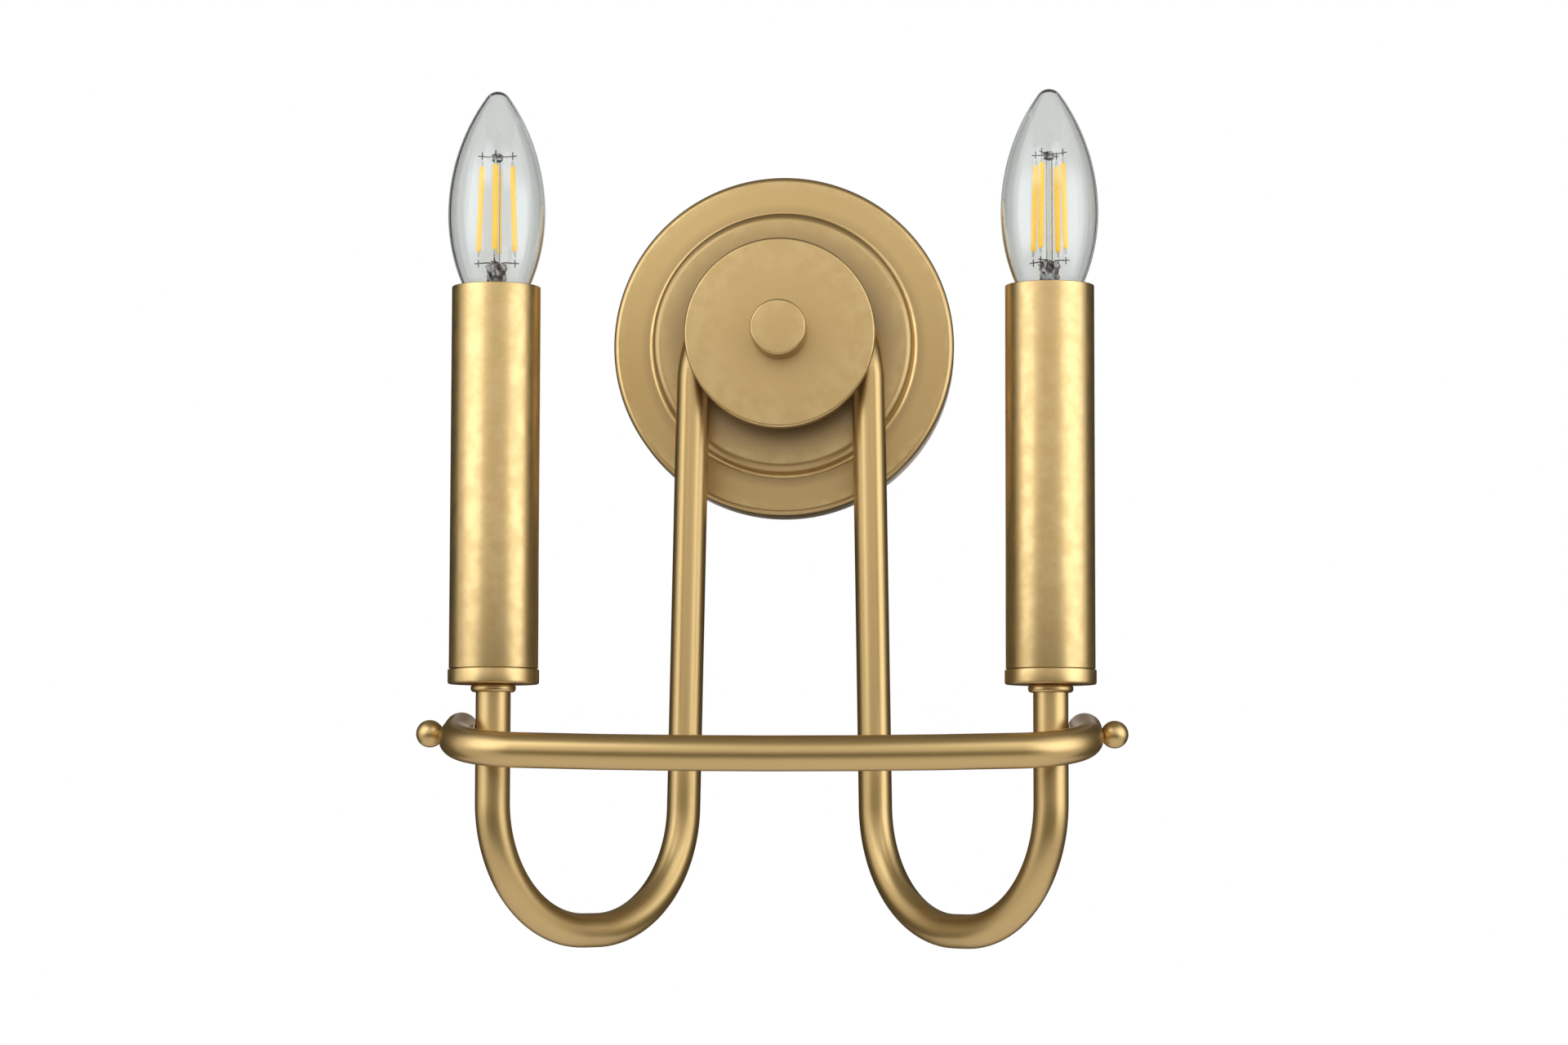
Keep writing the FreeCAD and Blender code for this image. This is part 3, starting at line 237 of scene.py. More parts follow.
class Wire:
    """A shader socket that takes part in Python arithmetic; each operation adds a Math node."""

    def __init__(self, finish, socket):
        self.finish = finish
        self.socket = socket

    def math(self, operation, first, second):
        return self.finish.node("ShaderNodeMath", {"operation": operation}, {0: first, 1: second})

    def __add__(self, other):
        return self.math("ADD", self, other)

    __radd__ = __add__

    def __sub__(self, other):
        return self.math("SUBTRACT", self, other)

    def __rsub__(self, other):
        return self.math("SUBTRACT", other, self)

    def __mul__(self, other):
        return self.math("MULTIPLY", self, other)

    __rmul__ = __mul__


class Finish:
    """The node tree of a material, a lamp or the world, with the node recipes that the finishes share."""

    def __init__(self, owner):
        owner.use_nodes = True
        self.owner = owner
        self.tree = owner.node_tree
        self.tree.nodes.clear()

    def node(self, kind, settings=None, sockets=None, output=0):
        """Adds a node: its settings first, and then a value or a link for each of its sockets."""
        made = self.tree.nodes.new(kind)
        for key, value in (settings or {}).items():
            setattr(made, key, value)
        for key, value in (sockets or {}).items():
            if isinstance(value, Wire):
                self.tree.links.new(value.socket, made.inputs[key])
            else:
                made.inputs[key].default_value = value
        return Wire(self, made.outputs[output]) if len(made.outputs) else made

    def place(self):
        return self.node("ShaderNodeTexCoord", output="Object")

    def noise(self, scale, detail=3.0, roughness=0.55, place=None):
        return self.node("ShaderNodeTexNoise", {}, {"Vector": place or self.place(), "Scale": scale,
                                                     "Detail": detail, "Roughness": roughness})

    def voronoi(self, scale, place=None):
        """A grey that is even over each cell."""
        cells = self.node("ShaderNodeTexVoronoi", {"feature": "F1"},
                          {"Vector": place or self.place(), "Scale": scale}, output="Color")
        return self.node("ShaderNodeSeparateColor", {}, {"Color": cells})

    def stretched(self, scale):
        """Object coordinates scaled unevenly, so that a pattern runs along one direction."""
        return self.node("ShaderNodeMapping", {"vector_type": "TEXTURE"},
                         {"Vector": self.place(), "Scale": [1 / part for part in scale]})

    def step(self, value, low, high):
        """0 below low, 1 above high and smooth between."""
        return self.node("ShaderNodeMapRange", {"interpolation_type": "SMOOTHSTEP"},
                         {"Value": value, "From Min": low, "From Max": high})

    def mix(self, factor, first, second):
        tones = {0: factor}
        for key, tone in ((6, first), (7, second)):
            tones[key] = tone if isinstance(tone, Wire) else (*tone, 1.0)
        return self.node("ShaderNodeMix", {"data_type": "RGBA"}, tones, output=2)

    def attribute(self, name):
        return self.node("ShaderNodeAttribute", {"attribute_name": name}, output="Fac")

    def bump(self, height, distance):
        return self.node("ShaderNodeBump", {}, {"Height": height, "Distance": distance, "Strength": 1.0})

    def surface(self, sockets, depth=None):
        """The output, with the shader and, for glass, the colour and density that its thickness takes up."""
        ends = {"Surface": self.node("ShaderNodeBsdfPrincipled", {}, sockets)}
        if depth:
            tone, density = depth
            ends["Volume"] = self.node("ShaderNodeVolumeAbsorption", {},
                                       {"Color": (*tone, 1.0), "Density": density})
        self.node("ShaderNodeOutputMaterial", {}, ends)
        return self.owner

    def patched(self, share, tone, other, rough, normal, more=None):
        """A surface of one tone with patches of another, where share is how much of the other shows."""
        return self.surface({"Base Color": self.mix(share, tone, other), "Roughness": rough, "Normal": normal,
                             **(more or {})})


def colours():
    return bpy.context.scene.sconce_colours


def finish_named(name):
    """A new material's tree, ready for its nodes."""
    return Finish(bpy.data.materials.new(name))


def once(make):
    """Each finish is made once and then shared, under a name that no slot of the frame has."""
    name = "sconce_" + make.__name__

    def found():
        return bpy.data.materials.get(name) or make(finish_named(name))
    return found


@once
def satin_gold(paint):
    """Satin gold paint: even tone, fine flake, orange-peel bump, rubbed edges, painted shade in hollow
    corners and a painted shadow round the cover disc.
    """
    tones = colours()
    cloud = paint.noise(14.0, 2.0)
    mottle = paint.noise(420.0, 2.0)
    flake = paint.voronoi(2600.0)
    base = paint.mix(paint.step(cloud, 0.30, 0.75) * 0.04, tones.gold, tones.gold_deep_and_shade)
    base = paint.mix(paint.step(mottle, 0.45, 0.80) * 0.03, base, tones.gold_pale)
    base = paint.mix(flake * 0.08, base, tones.gold_pale)
    wear_and_shade = paint.attribute("wear_and_shade")
    rubbed = paint.step(wear_and_shade, 0.35, 1.0) * paint.step(paint.noise(180.0, 4.0), 0.35, 0.65)
    # Painted shade: hollow corners (marked -1) get darker, slightly rougher gold.
    painted_hollow_shade = paint.step(0.0 - wear_and_shade, 0.3, 1.0)
    base = paint.mix(rubbed * 0.55, base, tones.gold_pale)
    base = paint.mix(painted_hollow_shade * 0.35, base, tones.gold_deep_and_shade)
    # Painted shadow of the cover disc on the canopy's face, from the shade attribute.
    base = paint.mix(paint.attribute("shade") * 0.64, base, [0.6 * part for part in tones.gold_deep_and_shade])
    height = 0.35 * paint.noise(900.0, 2.0) + 0.20 * flake
    return paint.surface({
        "Base Color": base, "Metallic": 0.95, "Specular Tint": (0.62, 0.45, 0.24, 1.0),
        "Roughness": 0.375 + 0.01 * cloud + 0.01 * mottle - 0.02 * flake - 0.07 * rubbed + 0.08 * painted_hollow_shade,
        "Coat Weight": 0.75, "Coat Roughness": 0.30, "Coat IOR": 1.75,
        "Normal": paint.bump(height, 0.010 * MM)})


@once
def shadowed_gold(paint):
    """Thin overspray on surfaces that face the wall or the inside of a shell."""
    tones = colours()
    spray = paint.noise(1400.0, 2.0)
    cover = paint.step(paint.noise(40.0, 5.0) + 0.35 * spray, 0.50, 0.85)
    return paint.patched(cover, tones.gold_deep_and_shade, tones.gold, 0.50 + 0.15 * spray,
                         paint.bump(spray, 0.02 * MM), {"Metallic": 0.85})


@once
def zinc_steel(metal):
    """Zinc plating: cloudy blue-grey spangle with rolling lines and a few dull spots."""
    spangle = metal.node("ShaderNodeTexVoronoi", {"feature": "SMOOTH_F1"},
                         {"Vector": metal.place(), "Scale": 320.0, "Smoothness": 0.6})
    cloud = metal.noise(70.0, 4.0)
    line = metal.noise(1.0, 3.0, place=metal.stretched((2400.0, 2400.0, 60.0)))
    base = metal.mix(metal.step(cloud, 0.35, 0.75) * 0.45, colours().steel, (0.36, 0.37, 0.40))
    return metal.patched(metal.step(spangle, 0.2, 0.8) * 0.20, base, (0.70, 0.69, 0.62),
                         0.30 + 0.16 * cloud + 0.08 * line, metal.bump(line + 0.5 * spangle, 0.01 * MM),
                         {"Metallic": 1.0})


@once
def machined_brass(metal):
    """Bare brass with fine turning lines and light tarnish."""
    tarnish = metal.noise(120.0, 4.0)
    turning = metal.noise(1.0, 2.0, place=metal.stretched((300.0, 300.0, 5200.0)))
    return metal.patched(metal.step(tarnish, 0.45, 0.80) * 0.6, colours().brass, (0.40, 0.24, 0.08),
                         0.24 + 0.20 * tarnish, metal.bump(turning, 0.008 * MM), {"Metallic": 1.0})


@once
def bright_nickel(metal):
    """Nickel plating on rolled shell: fine scratches and a slight haze."""
    haze = metal.noise(220.0, 4.0)
    scratch = metal.noise(1.0, 2.0, place=metal.stretched((900.0, 900.0, 7000.0)))
    return metal.patched(metal.step(haze, 0.40, 0.80) * 0.35, colours().nickel, (0.45, 0.42, 0.38),
                         0.18 + 0.14 * haze, metal.bump(scratch, 0.004 * MM), {"Metallic": 1.0})


@once
def clear_glass(glass):
    """Blown glass: grey where it is seen through its depth, with long faint draw waves."""
    tones = colours()
    wave = glass.noise(1.0, 1.0, place=glass.stretched((90.0, 90.0, 26.0)))
    return glass.surface({
        "Base Color": glass.mix(wave, tones.glass, (0.950, 0.965, 0.960)), "Roughness": 0.002 + 0.003 * wave,
        "Transmission Weight": 1.0, "IOR": 1.47, "Normal": glass.bump(wave, 0.012 * MM)},
        depth=(tones.glass_depth, 430.0))


@once
def pressed_glass(glass):
    """The pinched stem: lumpy and folded, with painted glints and painted dark reflections in dark, red-brown
    and white cells.
    """
    fold = glass.noise(700.0, 3.0, 0.6)
    glint_and_dark_cells = glass.voronoi(680.0, place=glass.stretched((1.0, 1.0, 0.6)))
    # Painted glints and dark: the white cells stand in for glints and the dark cells for dark reflections in
    # the folds.
    base = glass.mix(glass.step(glint_and_dark_cells, 0.20, 0.28), (0.050, 0.030, 0.028), (0.46, 0.30, 0.26))
    return glass.patched(glass.step(glint_and_dark_cells, 0.38, 0.46), base, (0.98, 0.97, 0.96), 0.03 + 0.05 * fold,
                         glass.bump(fold, 0.35 * MM), {"Transmission Weight": 0.35, "IOR": 1.52,
                                                       "Coat Weight": 0.8, "Coat Roughness": 0.05})


@once
def filament_phosphor(silicone):
    """Amber silicone full of phosphor: grainy, waxy and a little deeper in patches, with a faint painted
    glow.
    """
    grain = silicone.noise(2600.0, 3.0)
    cloud = silicone.noise(320.0, 2.0)
    base = silicone.mix(silicone.step(grain, 0.35, 0.75) * 0.30, colours().phosphor, (1.0, 0.66, 0.12))
    base = silicone.mix(silicone.step(cloud, 0.45, 0.8) * 0.25, base, (0.96, 0.46, 0.03))
    return silicone.surface({
        "Base Color": base, "Roughness": 0.42 + 0.15 * grain, "Subsurface Weight": 0.2,
        # Painted glow: the strips emit a faint amber of their own.
        "Subsurface Radius": (0.0006, 0.0003, 0.0001), "Emission Color": base, "Emission Strength": 0.62,
        "Normal": silicone.bump(grain, 0.03 * MM)})


@once
def strip_end(tab):
    """Pale crimped ends of the filament strips."""
    dent = tab.noise(1800.0, 3.0)
    return tab.patched(tab.step(dent, 0.40, 0.70), (0.80, 0.79, 0.76), (0.58, 0.55, 0.50),
                       0.30 + 0.2 * dent, tab.bump(dent, 0.03 * MM), {"Metallic": 0.6})


@once
def support_wire(metal):
    """Drawn wire, darkened where it was heated."""
    scale = metal.noise(700.0, 3.0)
    return metal.patched(metal.step(scale, 0.35, 0.7), (0.070, 0.060, 0.055), (0.200, 0.160, 0.140),
                         0.32 + 0.2 * scale, metal.bump(scale, 0.01 * MM), {"Metallic": 1.0})


@once
def phenolic(moulding):
    """Dark moulded resin with a faint flow grain."""
    flow = moulding.noise(1.0, 4.0, place=moulding.stretched((260.0, 260.0, 90.0)))
    dust = moulding.noise(1500.0, 2.0)
    base = moulding.mix(moulding.step(flow, 0.35, 0.75) * 0.6, colours().holder, (0.10, 0.07, 0.05))
    return moulding.patched(moulding.step(dust, 0.60, 0.80) * 0.25, base, (0.16, 0.14, 0.12),
                            0.34 + 0.18 * dust, moulding.bump(flow + 0.4 * dust, 0.02 * MM))


@once
def black_glass(bead):
    """Fused black glass insulator with small pits."""
    pit = bead.noise(900.0, 3.0)
    return bead.patched(bead.step(pit, 0.45, 0.75), (0.012, 0.011, 0.016), (0.045, 0.040, 0.055),
                        0.10 + 0.25 * pit, bead.bump(pit, 0.03 * MM))


@once
def green_paint(paint):
    """Thick green dip on the ground screw, brighter where it ran thin."""
    drip = paint.noise(600.0, 3.0)
    return paint.patched(paint.step(drip, 0.55, 0.75) * 0.6, colours().ground_screw, (0.05, 0.30, 0.10),
                         0.28 + 0.2 * drip, paint.bump(drip, 0.03 * MM),
                         {"Coat Weight": 0.3, "Coat Roughness": 0.1})


def insulation(sheath, tone, other):
    """Extruded insulation: soft sheen, faint handling marks and a fine grain."""
    rub = sheath.noise(300.0, 4.0)
    grain = sheath.noise(3000.0, 2.0)
    return sheath.patched(sheath.step(rub, 0.45, 0.80) * 0.5, tone, other,
                          0.36 + 0.16 * rub + 0.06 * grain, sheath.bump(grain + rub, 0.01 * MM))


@once
def black_insulation(sheath):
    return insulation(sheath, colours().lead_black, (0.045, 0.045, 0.048))


@once
def white_insulation(sheath):
    return insulation(sheath, colours().lead_white, (0.55, 0.53, 0.48))


@once
def connector_plastic(shell):
    """Moulded connector: flat sheen, darker in cloudy patches, with mould stipple."""
    stipple = shell.noise(2200.0, 2.0)
    return shell.patched(shell.step(shell.noise(160.0, 3.0), 0.40, 0.80) * 0.35, colours().connector,
                         (0.42, 0.07, 0.012), 0.38 + 0.12 * stipple, shell.bump(stipple, 0.02 * MM))


@once
def nylon(disc):
    """Off-white nylon washer with a waxy sheen."""
    cloud = disc.noise(500.0, 3.0)
    return disc.patched(disc.step(cloud, 0.40, 0.75) * 0.4, (0.66, 0.62, 0.50), (0.48, 0.42, 0.30),
                        0.40 + 0.15 * cloud, disc.bump(cloud, 0.01 * MM),
                        {"Subsurface Weight": 0.1, "Subsurface Radius": (0.001, 0.0008, 0.0005)})


# ---- Modelling, by hand tools ----

def clear_table():
    """Goes back to object mode and deselects everything, before a new primitive."""
    if bpy.context.mode != "OBJECT":
        bpy.ops.object.mode_set(mode="OBJECT")
    bpy.ops.object.select_all(action="DESELECT")


def named(name):
    """Names the active object and its mesh."""
    made = bpy.context.object
    made.name = name
    made.data.name = name
    return made


def in_edit(made):
    bpy.context.view_layer.objects.active = made
    bpy.ops.object.mode_set(mode="EDIT")
    bpy.ops.mesh.select_mode(type="VERT")
    bpy.ops.mesh.select_all(action="SELECT")


def out_of_edit():
    bpy.ops.object.mode_set(mode="OBJECT")


def pick(made, wanted, kind="VERT"):
    """Selects the vertices or edges that a test accepts, and says how many there are."""
    bpy.ops.mesh.select_mode(type=kind)
    bpy.ops.mesh.select_all(action="DESELECT")
    mesh = bmesh.from_edit_mesh(made.data)
    count = 0
    for item in mesh.edges if kind == "EDGE" else mesh.verts:
        if wanted(item):
            item.select_set(True)
            count += 1
    mesh.select_flush_mode()
    bmesh.update_edit_mesh(made.data)
    return count


def settle(made, smooth_angle=32.0):
    """Merges doubles, turns every face outward and shades smooth up to an angle."""
    in_edit(made)
    bpy.ops.mesh.remove_doubles(threshold=SAME_PLACE)
    bpy.ops.mesh.select_all(action="SELECT")
    bpy.ops.mesh.normals_make_consistent(inside=False)
    out_of_edit()
    bpy.ops.object.select_all(action="DESELECT")
    made.select_set(True)
    bpy.ops.object.shade_smooth_by_angle(angle=math.radians(smooth_angle))


def apply_modifier(made, kind, **settings):
    bpy.context.view_layer.objects.active = made
    modifier = made.modifiers.new(kind.title(), kind)
    for key, value in settings.items():
        setattr(modifier, key, value)
    bpy.ops.object.modifier_apply(modifier=modifier.name)


def lathe(name, outline, centre, axis, steps=TURN_STEPS, rounding=ROUNDING_STEPS):
    """Draws an outline of (radius, along, corner radius) points, rounds its corners and spins it."""
    def on_axis(edge):
        return all(axis_distance(vert.co, centre, axis) < SAME_PLACE for vert in edge.verts)

    clear_table()
    across = UP if abs(axis.x) > 0.5 else X
    points = [centre + across * entry[0] + axis * entry[1] for entry in outline]
    bpy.ops.mesh.primitive_plane_add(size=MM)
    made = named(name)
    in_edit(made)
    bpy.ops.mesh.merge(type="CENTER")
    bpy.ops.transform.translate(value=points[0])
    for before, after in zip(points[:-1], points[1:]):
        bpy.ops.mesh.extrude_region_move(TRANSFORM_OT_translate={"value": after - before})
    bpy.ops.mesh.select_all(action="SELECT")
    bpy.ops.mesh.edge_face_add()
    marked_corners = []
    turning = outline_turning(outline)
    for index, (radius, along, *corner) in enumerate(outline):
        if not corner:
            continue
        before, point, after = points[index - 1], points[index], points[(index + 1) % len(points)]
        cut = corner[0] / math.tan((before - point).angle(after - point) / 2)
        pick(made, lambda vert: (vert.co - point).length < SAME_PLACE)
        bpy.ops.mesh.bevel(offset=cut, segments=rounding, affect="VERTICES")
        # Outer corners are marked for rubbed wear, hollow corners for painted shade.
        marked_corners.append((radius, along, cut * CORNER_MARK_REACH, turning * corner_turn(outline, index)))
    bpy.ops.mesh.select_all(action="SELECT")
    bpy.ops.mesh.delete(type="ONLY_FACE")
    if pick(made, on_axis, "EDGE"):
        bpy.ops.mesh.delete(type="EDGE")
    bpy.ops.mesh.select_all(action="SELECT")
    bpy.ops.mesh.spin(steps=steps, angle=2 * math.pi, center=centre, axis=axis)
    out_of_edit()
    settle(made)
    mark_edges_and_hollows(made, marked_corners, centre, axis)
    return made


def outline_turning(outline):
    """+1 where an outline runs anticlockwise in (radius, along) and -1 where clockwise."""
    area = 0.0
    for first, second in zip(outline, outline[1:] + outline[:1]):
        area += first[0] * second[1] - second[0] * first[1]
    return 1 if area > 0 else -1


def corner_turn(outline, index):
    """The sign of the turn that an outline makes at a corner."""
    before, point, after = outline[index - 1], outline[index], outline[(index + 1) % len(outline)]
    cross = (point[0] - before[0]) * (after[1] - point[1]) - (point[1] - before[1]) * (after[0] - point[0])
    return 1 if cross > 0 else -1


def axis_distance(point, centre, axis):
    offset = point - centre
    return (offset - axis * offset.dot(axis)).length


def mark_edges_and_hollows(made, marked_corners, centre, axis):
    """Writes the attribute that marks rounded outer edges (+1, for rubbed wear) and hollow corners (-1, for
    painted shade), 0 elsewhere.
    """
    mesh = made.data
    wear_and_shade = mesh.attributes.new("wear_and_shade", "FLOAT", "POINT")
    places = np.empty(len(mesh.vertices) * 3)
    mesh.vertices.foreach_get("co", places)
    offsets = places.reshape(-1, 3) - np.array(centre)
    along = offsets @ np.array(axis)
    radius = np.linalg.norm(offsets - np.outer(along, np.array(axis)), axis=1)
    values = np.zeros(len(mesh.vertices))
    for corner_radius, corner_along, reach, sign in marked_corners:
        values[np.hypot(radius - corner_radius, along - corner_along) < reach] = sign
    wear_and_shade.data.foreach_set("value", values.astype(np.float32))


def ring(name, centre, heading, radius, sides):
    """A bare ring of edges, square to a heading, as the start of a tube."""
    clear_table()
    turn = heading.to_track_quat("Z", "Y").to_euler()
    bpy.ops.mesh.primitive_circle_add(vertices=sides, radius=radius, location=centre, rotation=turn)
    made = named(name)
    bpy.ops.object.transform_apply(location=True, rotation=True, scale=True)
    in_edit(made)
    return made


def pull(run):
    """Extrudes the open ring straight along a run."""
    if run.length > SAME_PLACE:
        bpy.ops.mesh.extrude_region_move(TRANSFORM_OT_translate={"value": run})


def bend(centre, axis, angle):
    """Spins the open ring round a bend; the spin tool turns clockwise about its axis."""
    steps = max(FEWEST_BEND_STEPS, math.ceil(angle / BEND_STEP))
    bpy.ops.mesh.spin(steps=steps, angle=angle, center=centre, axis=-axis)


def bent_tube(name, corners, radius, wall=0.0, sides=TUBE_SIDES):
    """A tube pulled and bent along runs through (point, bend radius) corners."""
    points = [Vector(point) for point, _ in corners]
    made = ring(name, points[0], (points[1] - points[0]).normalized(), radius, sides)
    place = points[0]
    for before, point, after, (_, bend_radius) in zip(points, points[1:], points[2:], corners[1:]):
        back = (before - point).normalized()
        ahead = (after - point).normalized()
        half = back.angle(ahead) / 2
        cut = bend_radius / math.tan(half)
        pull(point + back * cut - place)
        centre = point + (back + ahead).normalized() * (bend_radius / math.sin(half))
        bend(centre, (-back).cross(ahead).normalized(), math.pi - 2 * half)
        place = point + ahead * cut
    pull(points[-1] - place)
    return close_tube(made, wall)


def close_tube(made, wall=0.0):
    """Gives a swept ring its wall, or caps it where it is solid."""
    if not wall:
        pick(made, lambda edge: edge.is_boundary, "EDGE")
        bpy.ops.mesh.edge_face_add()
    out_of_edit()
    settle(made)
    if wall:
        apply_modifier(made, "SOLIDIFY", thickness=wall, offset=-1.0, use_even_offset=True)
        settle(made)
    return made


def rod(radius, first, second):
    """A plain round cutter between two points."""
    made = ring("cutter", first, (second - first).normalized(), radius, CUTTER_SIDES)
    pull(second - first)
    return close_tube(made)


def cut_by(made, cutters):
    """Cuts each cutter's shape out of a piece and deletes the cutter."""
    for cutter in cutters:
        apply_modifier(made, "BOOLEAN", operation="DIFFERENCE", solver="EXACT", object=cutter)
        bpy.data.objects.remove(cutter)
    settle(made)


def joined(pieces, name):
    """Joins pieces into one object with one mesh."""
    bpy.ops.object.select_all(action="DESELECT")
    for piece in pieces:
        piece.select_set(True)
    bpy.context.view_layer.objects.active = pieces[0]
    bpy.ops.object.join()
    return named(name)


def give_finish(made, finish, second=None, chosen=None):
    """Gives a piece its finish, and a second finish to the faces that a test has chosen."""
    made.data.materials.clear()
    made.data.materials.append(finish)
    if second:
        made.data.materials.append(second)
        for face in made.data.polygons:
            if chosen(face):
                face.material_index = 1


def hand_over(made, node, body):
    """Puts a finished piece on its body, in place of its node."""
    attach(made, body)
    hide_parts(node)


def gild(made, node, body, hidden=None):
    """Paints a piece gold, with overspray on the faces that a test calls hidden, and hands it over."""
    give_finish(made, satin_gold(), shadowed_gold() if hidden else None, hidden)
    hand_over(made, node, body)


def candle_axis(side):
    """Where a candle's upright axis passes the height of the canopy's centre."""
    arms = bpy.context.scene.sconce_arms
    return Vector((side * arms.candle_x, -arms.candle_depth, 0))


# ---- Pieces ----

class SCONCE_OT_canopy(bpy.types.Operator):
    """Spins the stepped canopy and bores its three holes"""
    bl_idname = "sconce.canopy"
    bl_label = "Canopy"

    def execute(self, context):
        size = context.scene.sconce_canopy
        arms = context.scene.sconce_arms
        cover = context.scene.sconce_cover
        stud_hole = cover.stud_radius + PASS_CLEARANCE
        arm_hole = 5.3 * MM
        rim = size.radius - size.wall
        back = size.face_depth - size.wall
        flange_back = size.flange_depth - size.wall
        inner = size.face_radius - size.wall
        canopy = lathe("canopy_shell", [
            (rim, 0, BROKEN_EDGE), (size.radius, 0, ROUNDED_EDGE),
            (size.radius, size.flange_depth, size.shoulder), (size.face_radius, size.flange_depth, size.cove),
            (size.face_radius, size.face_depth, size.face_edge), (cover.disc_radius, size.face_depth),
            (stud_hole, size.face_depth, BROKEN_EDGE), (stud_hole, back),
            (inner, back, size.face_edge - size.wall), (inner, flange_back, size.cove + size.wall),
            (rim, flange_back, size.shoulder - size.wall)], Vector(), OUT, steps=256)
        cutters = []
        for side in SIDES.values():
            behind = Vector((side * arms.inlet_x, -back + MM, 0))
            ahead = Vector((side * arms.inlet_x, -size.face_depth - MM, 0))
            cutters.append(rod(arm_hole, behind, ahead))
        cut_by(canopy, cutters)
        self.paint_disc_shadow(canopy, size, cover)
        gild(canopy, "canopy", "fixture", hidden=lambda face: self.is_hidden(face, back))
        return {"FINISHED"}

    def paint_disc_shadow(self, canopy, size, cover):
        """Writes the painted shadow of the cover disc on the face: darkest behind the disc, least at the
        edge.
        """
        shade = canopy.data.attributes.new("shade", "FLOAT", "POINT")
        flat_edge = size.face_radius - size.face_edge
        for vert, mark in zip(canopy.data.vertices, shade.data):
            reach = math.hypot(vert.co.x, vert.co.z)
            if -vert.co.y > size.face_depth - 0.1 * MM and reach < flat_edge + 0.5 * MM:
                outward = (reach - cover.disc_radius) / (flat_edge - cover.disc_radius)
                mark.value = 1.0 - 0.75 * max(0.0, outward)

    def is_hidden(self, face, back):
        """Whether a face looks toward the wall, or toward the axis from inside the shell."""
        flat = Vector((face.center.x, 0, face.center.z))
        beyond_arms = 30 * MM
        looks_in = flat.length > beyond_arms and face.normal.dot(flat.normalized()) < -0.3
        return face.normal.y > 0.3 or looks_in and face.center.y > -back


class SCONCE_OT_cover(bpy.types.Operator):
    """Turns the cover disc, its spacer and the knob"""
    bl_idname = "sconce.cover"
    bl_label = "Cover disc and knob"

    def execute(self, context):
        size = context.scene.sconce_cover
        hole = size.stud_radius + PASS_CLEARANCE
        back = size.disc_depth - size.disc_wall
        self.turn_disc(size, hole, back)
        self.turn_spacer(hole, context.scene.sconce_canopy.face_depth, back)
        self.turn_knob(size)
        return {"FINISHED"}

    def turn_disc(self, size, hole, back):
        rim_back = size.disc_depth - size.disc_rim
        inner = size.disc_radius - size.disc_wall
        disc = lathe("cover_disc_turned", [
            (hole, size.disc_depth), (size.disc_radius, size.disc_depth, 1.1 * MM),
            (size.disc_radius, rim_back, EASED_EDGE), (inner, rim_back, EASED_EDGE),
            (inner, back, ROUNDED_EDGE), (hole, back)], Vector(), OUT, steps=256)
        gild(disc, "cover_disc", "fixture", hidden=lambda face: face.normal.y > 0.5)

    def turn_spacer(self, hole, face, back):
        """A tube with a flange at each end, from the canopy's face to the back of the disc."""
        end = 9.5 * MM
        waist = end - 1.2 * MM
        flange, slope = 3 * MM, 4 * MM
        spacer = lathe("hub_spacer_turned", [
            (hole, face), (end, face, ROUNDED_EDGE), (end, face + flange, EASED_EDGE),
            (waist, face + slope, EASED_EDGE), (waist, (face + back) / 2, BROKEN_EDGE),
            (waist, back - slope, EASED_EDGE), (end, back - flange, EASED_EDGE),
            (end, back, ROUNDED_EDGE), (hole, back)], Vector(), OUT, steps=128)
        gild(spacer, "hub_spacer", "fixture")

    def turn_knob(self, size):
        """A blind knob with a narrower neck toward the disc."""
        bore = size.stud_radius + RUNNING_FIT
        neck, neck_front = 7.8 * MM, size.knob_back + 1.4 * MM
        bore_end = size.knob_back + 12.4 * MM
        knob = lathe("knob_turned", [
            (bore, size.knob_back), (neck, size.knob_back), (neck, neck_front, BROKEN_EDGE),
            (size.knob_radius, neck_front, EASED_EDGE), (size.knob_radius, size.knob_front, 0.8 * MM),
            (0, size.knob_front), (0, bore_end), (bore, bore_end)], Vector(), OUT)
        gild(knob, "knob", "knob")


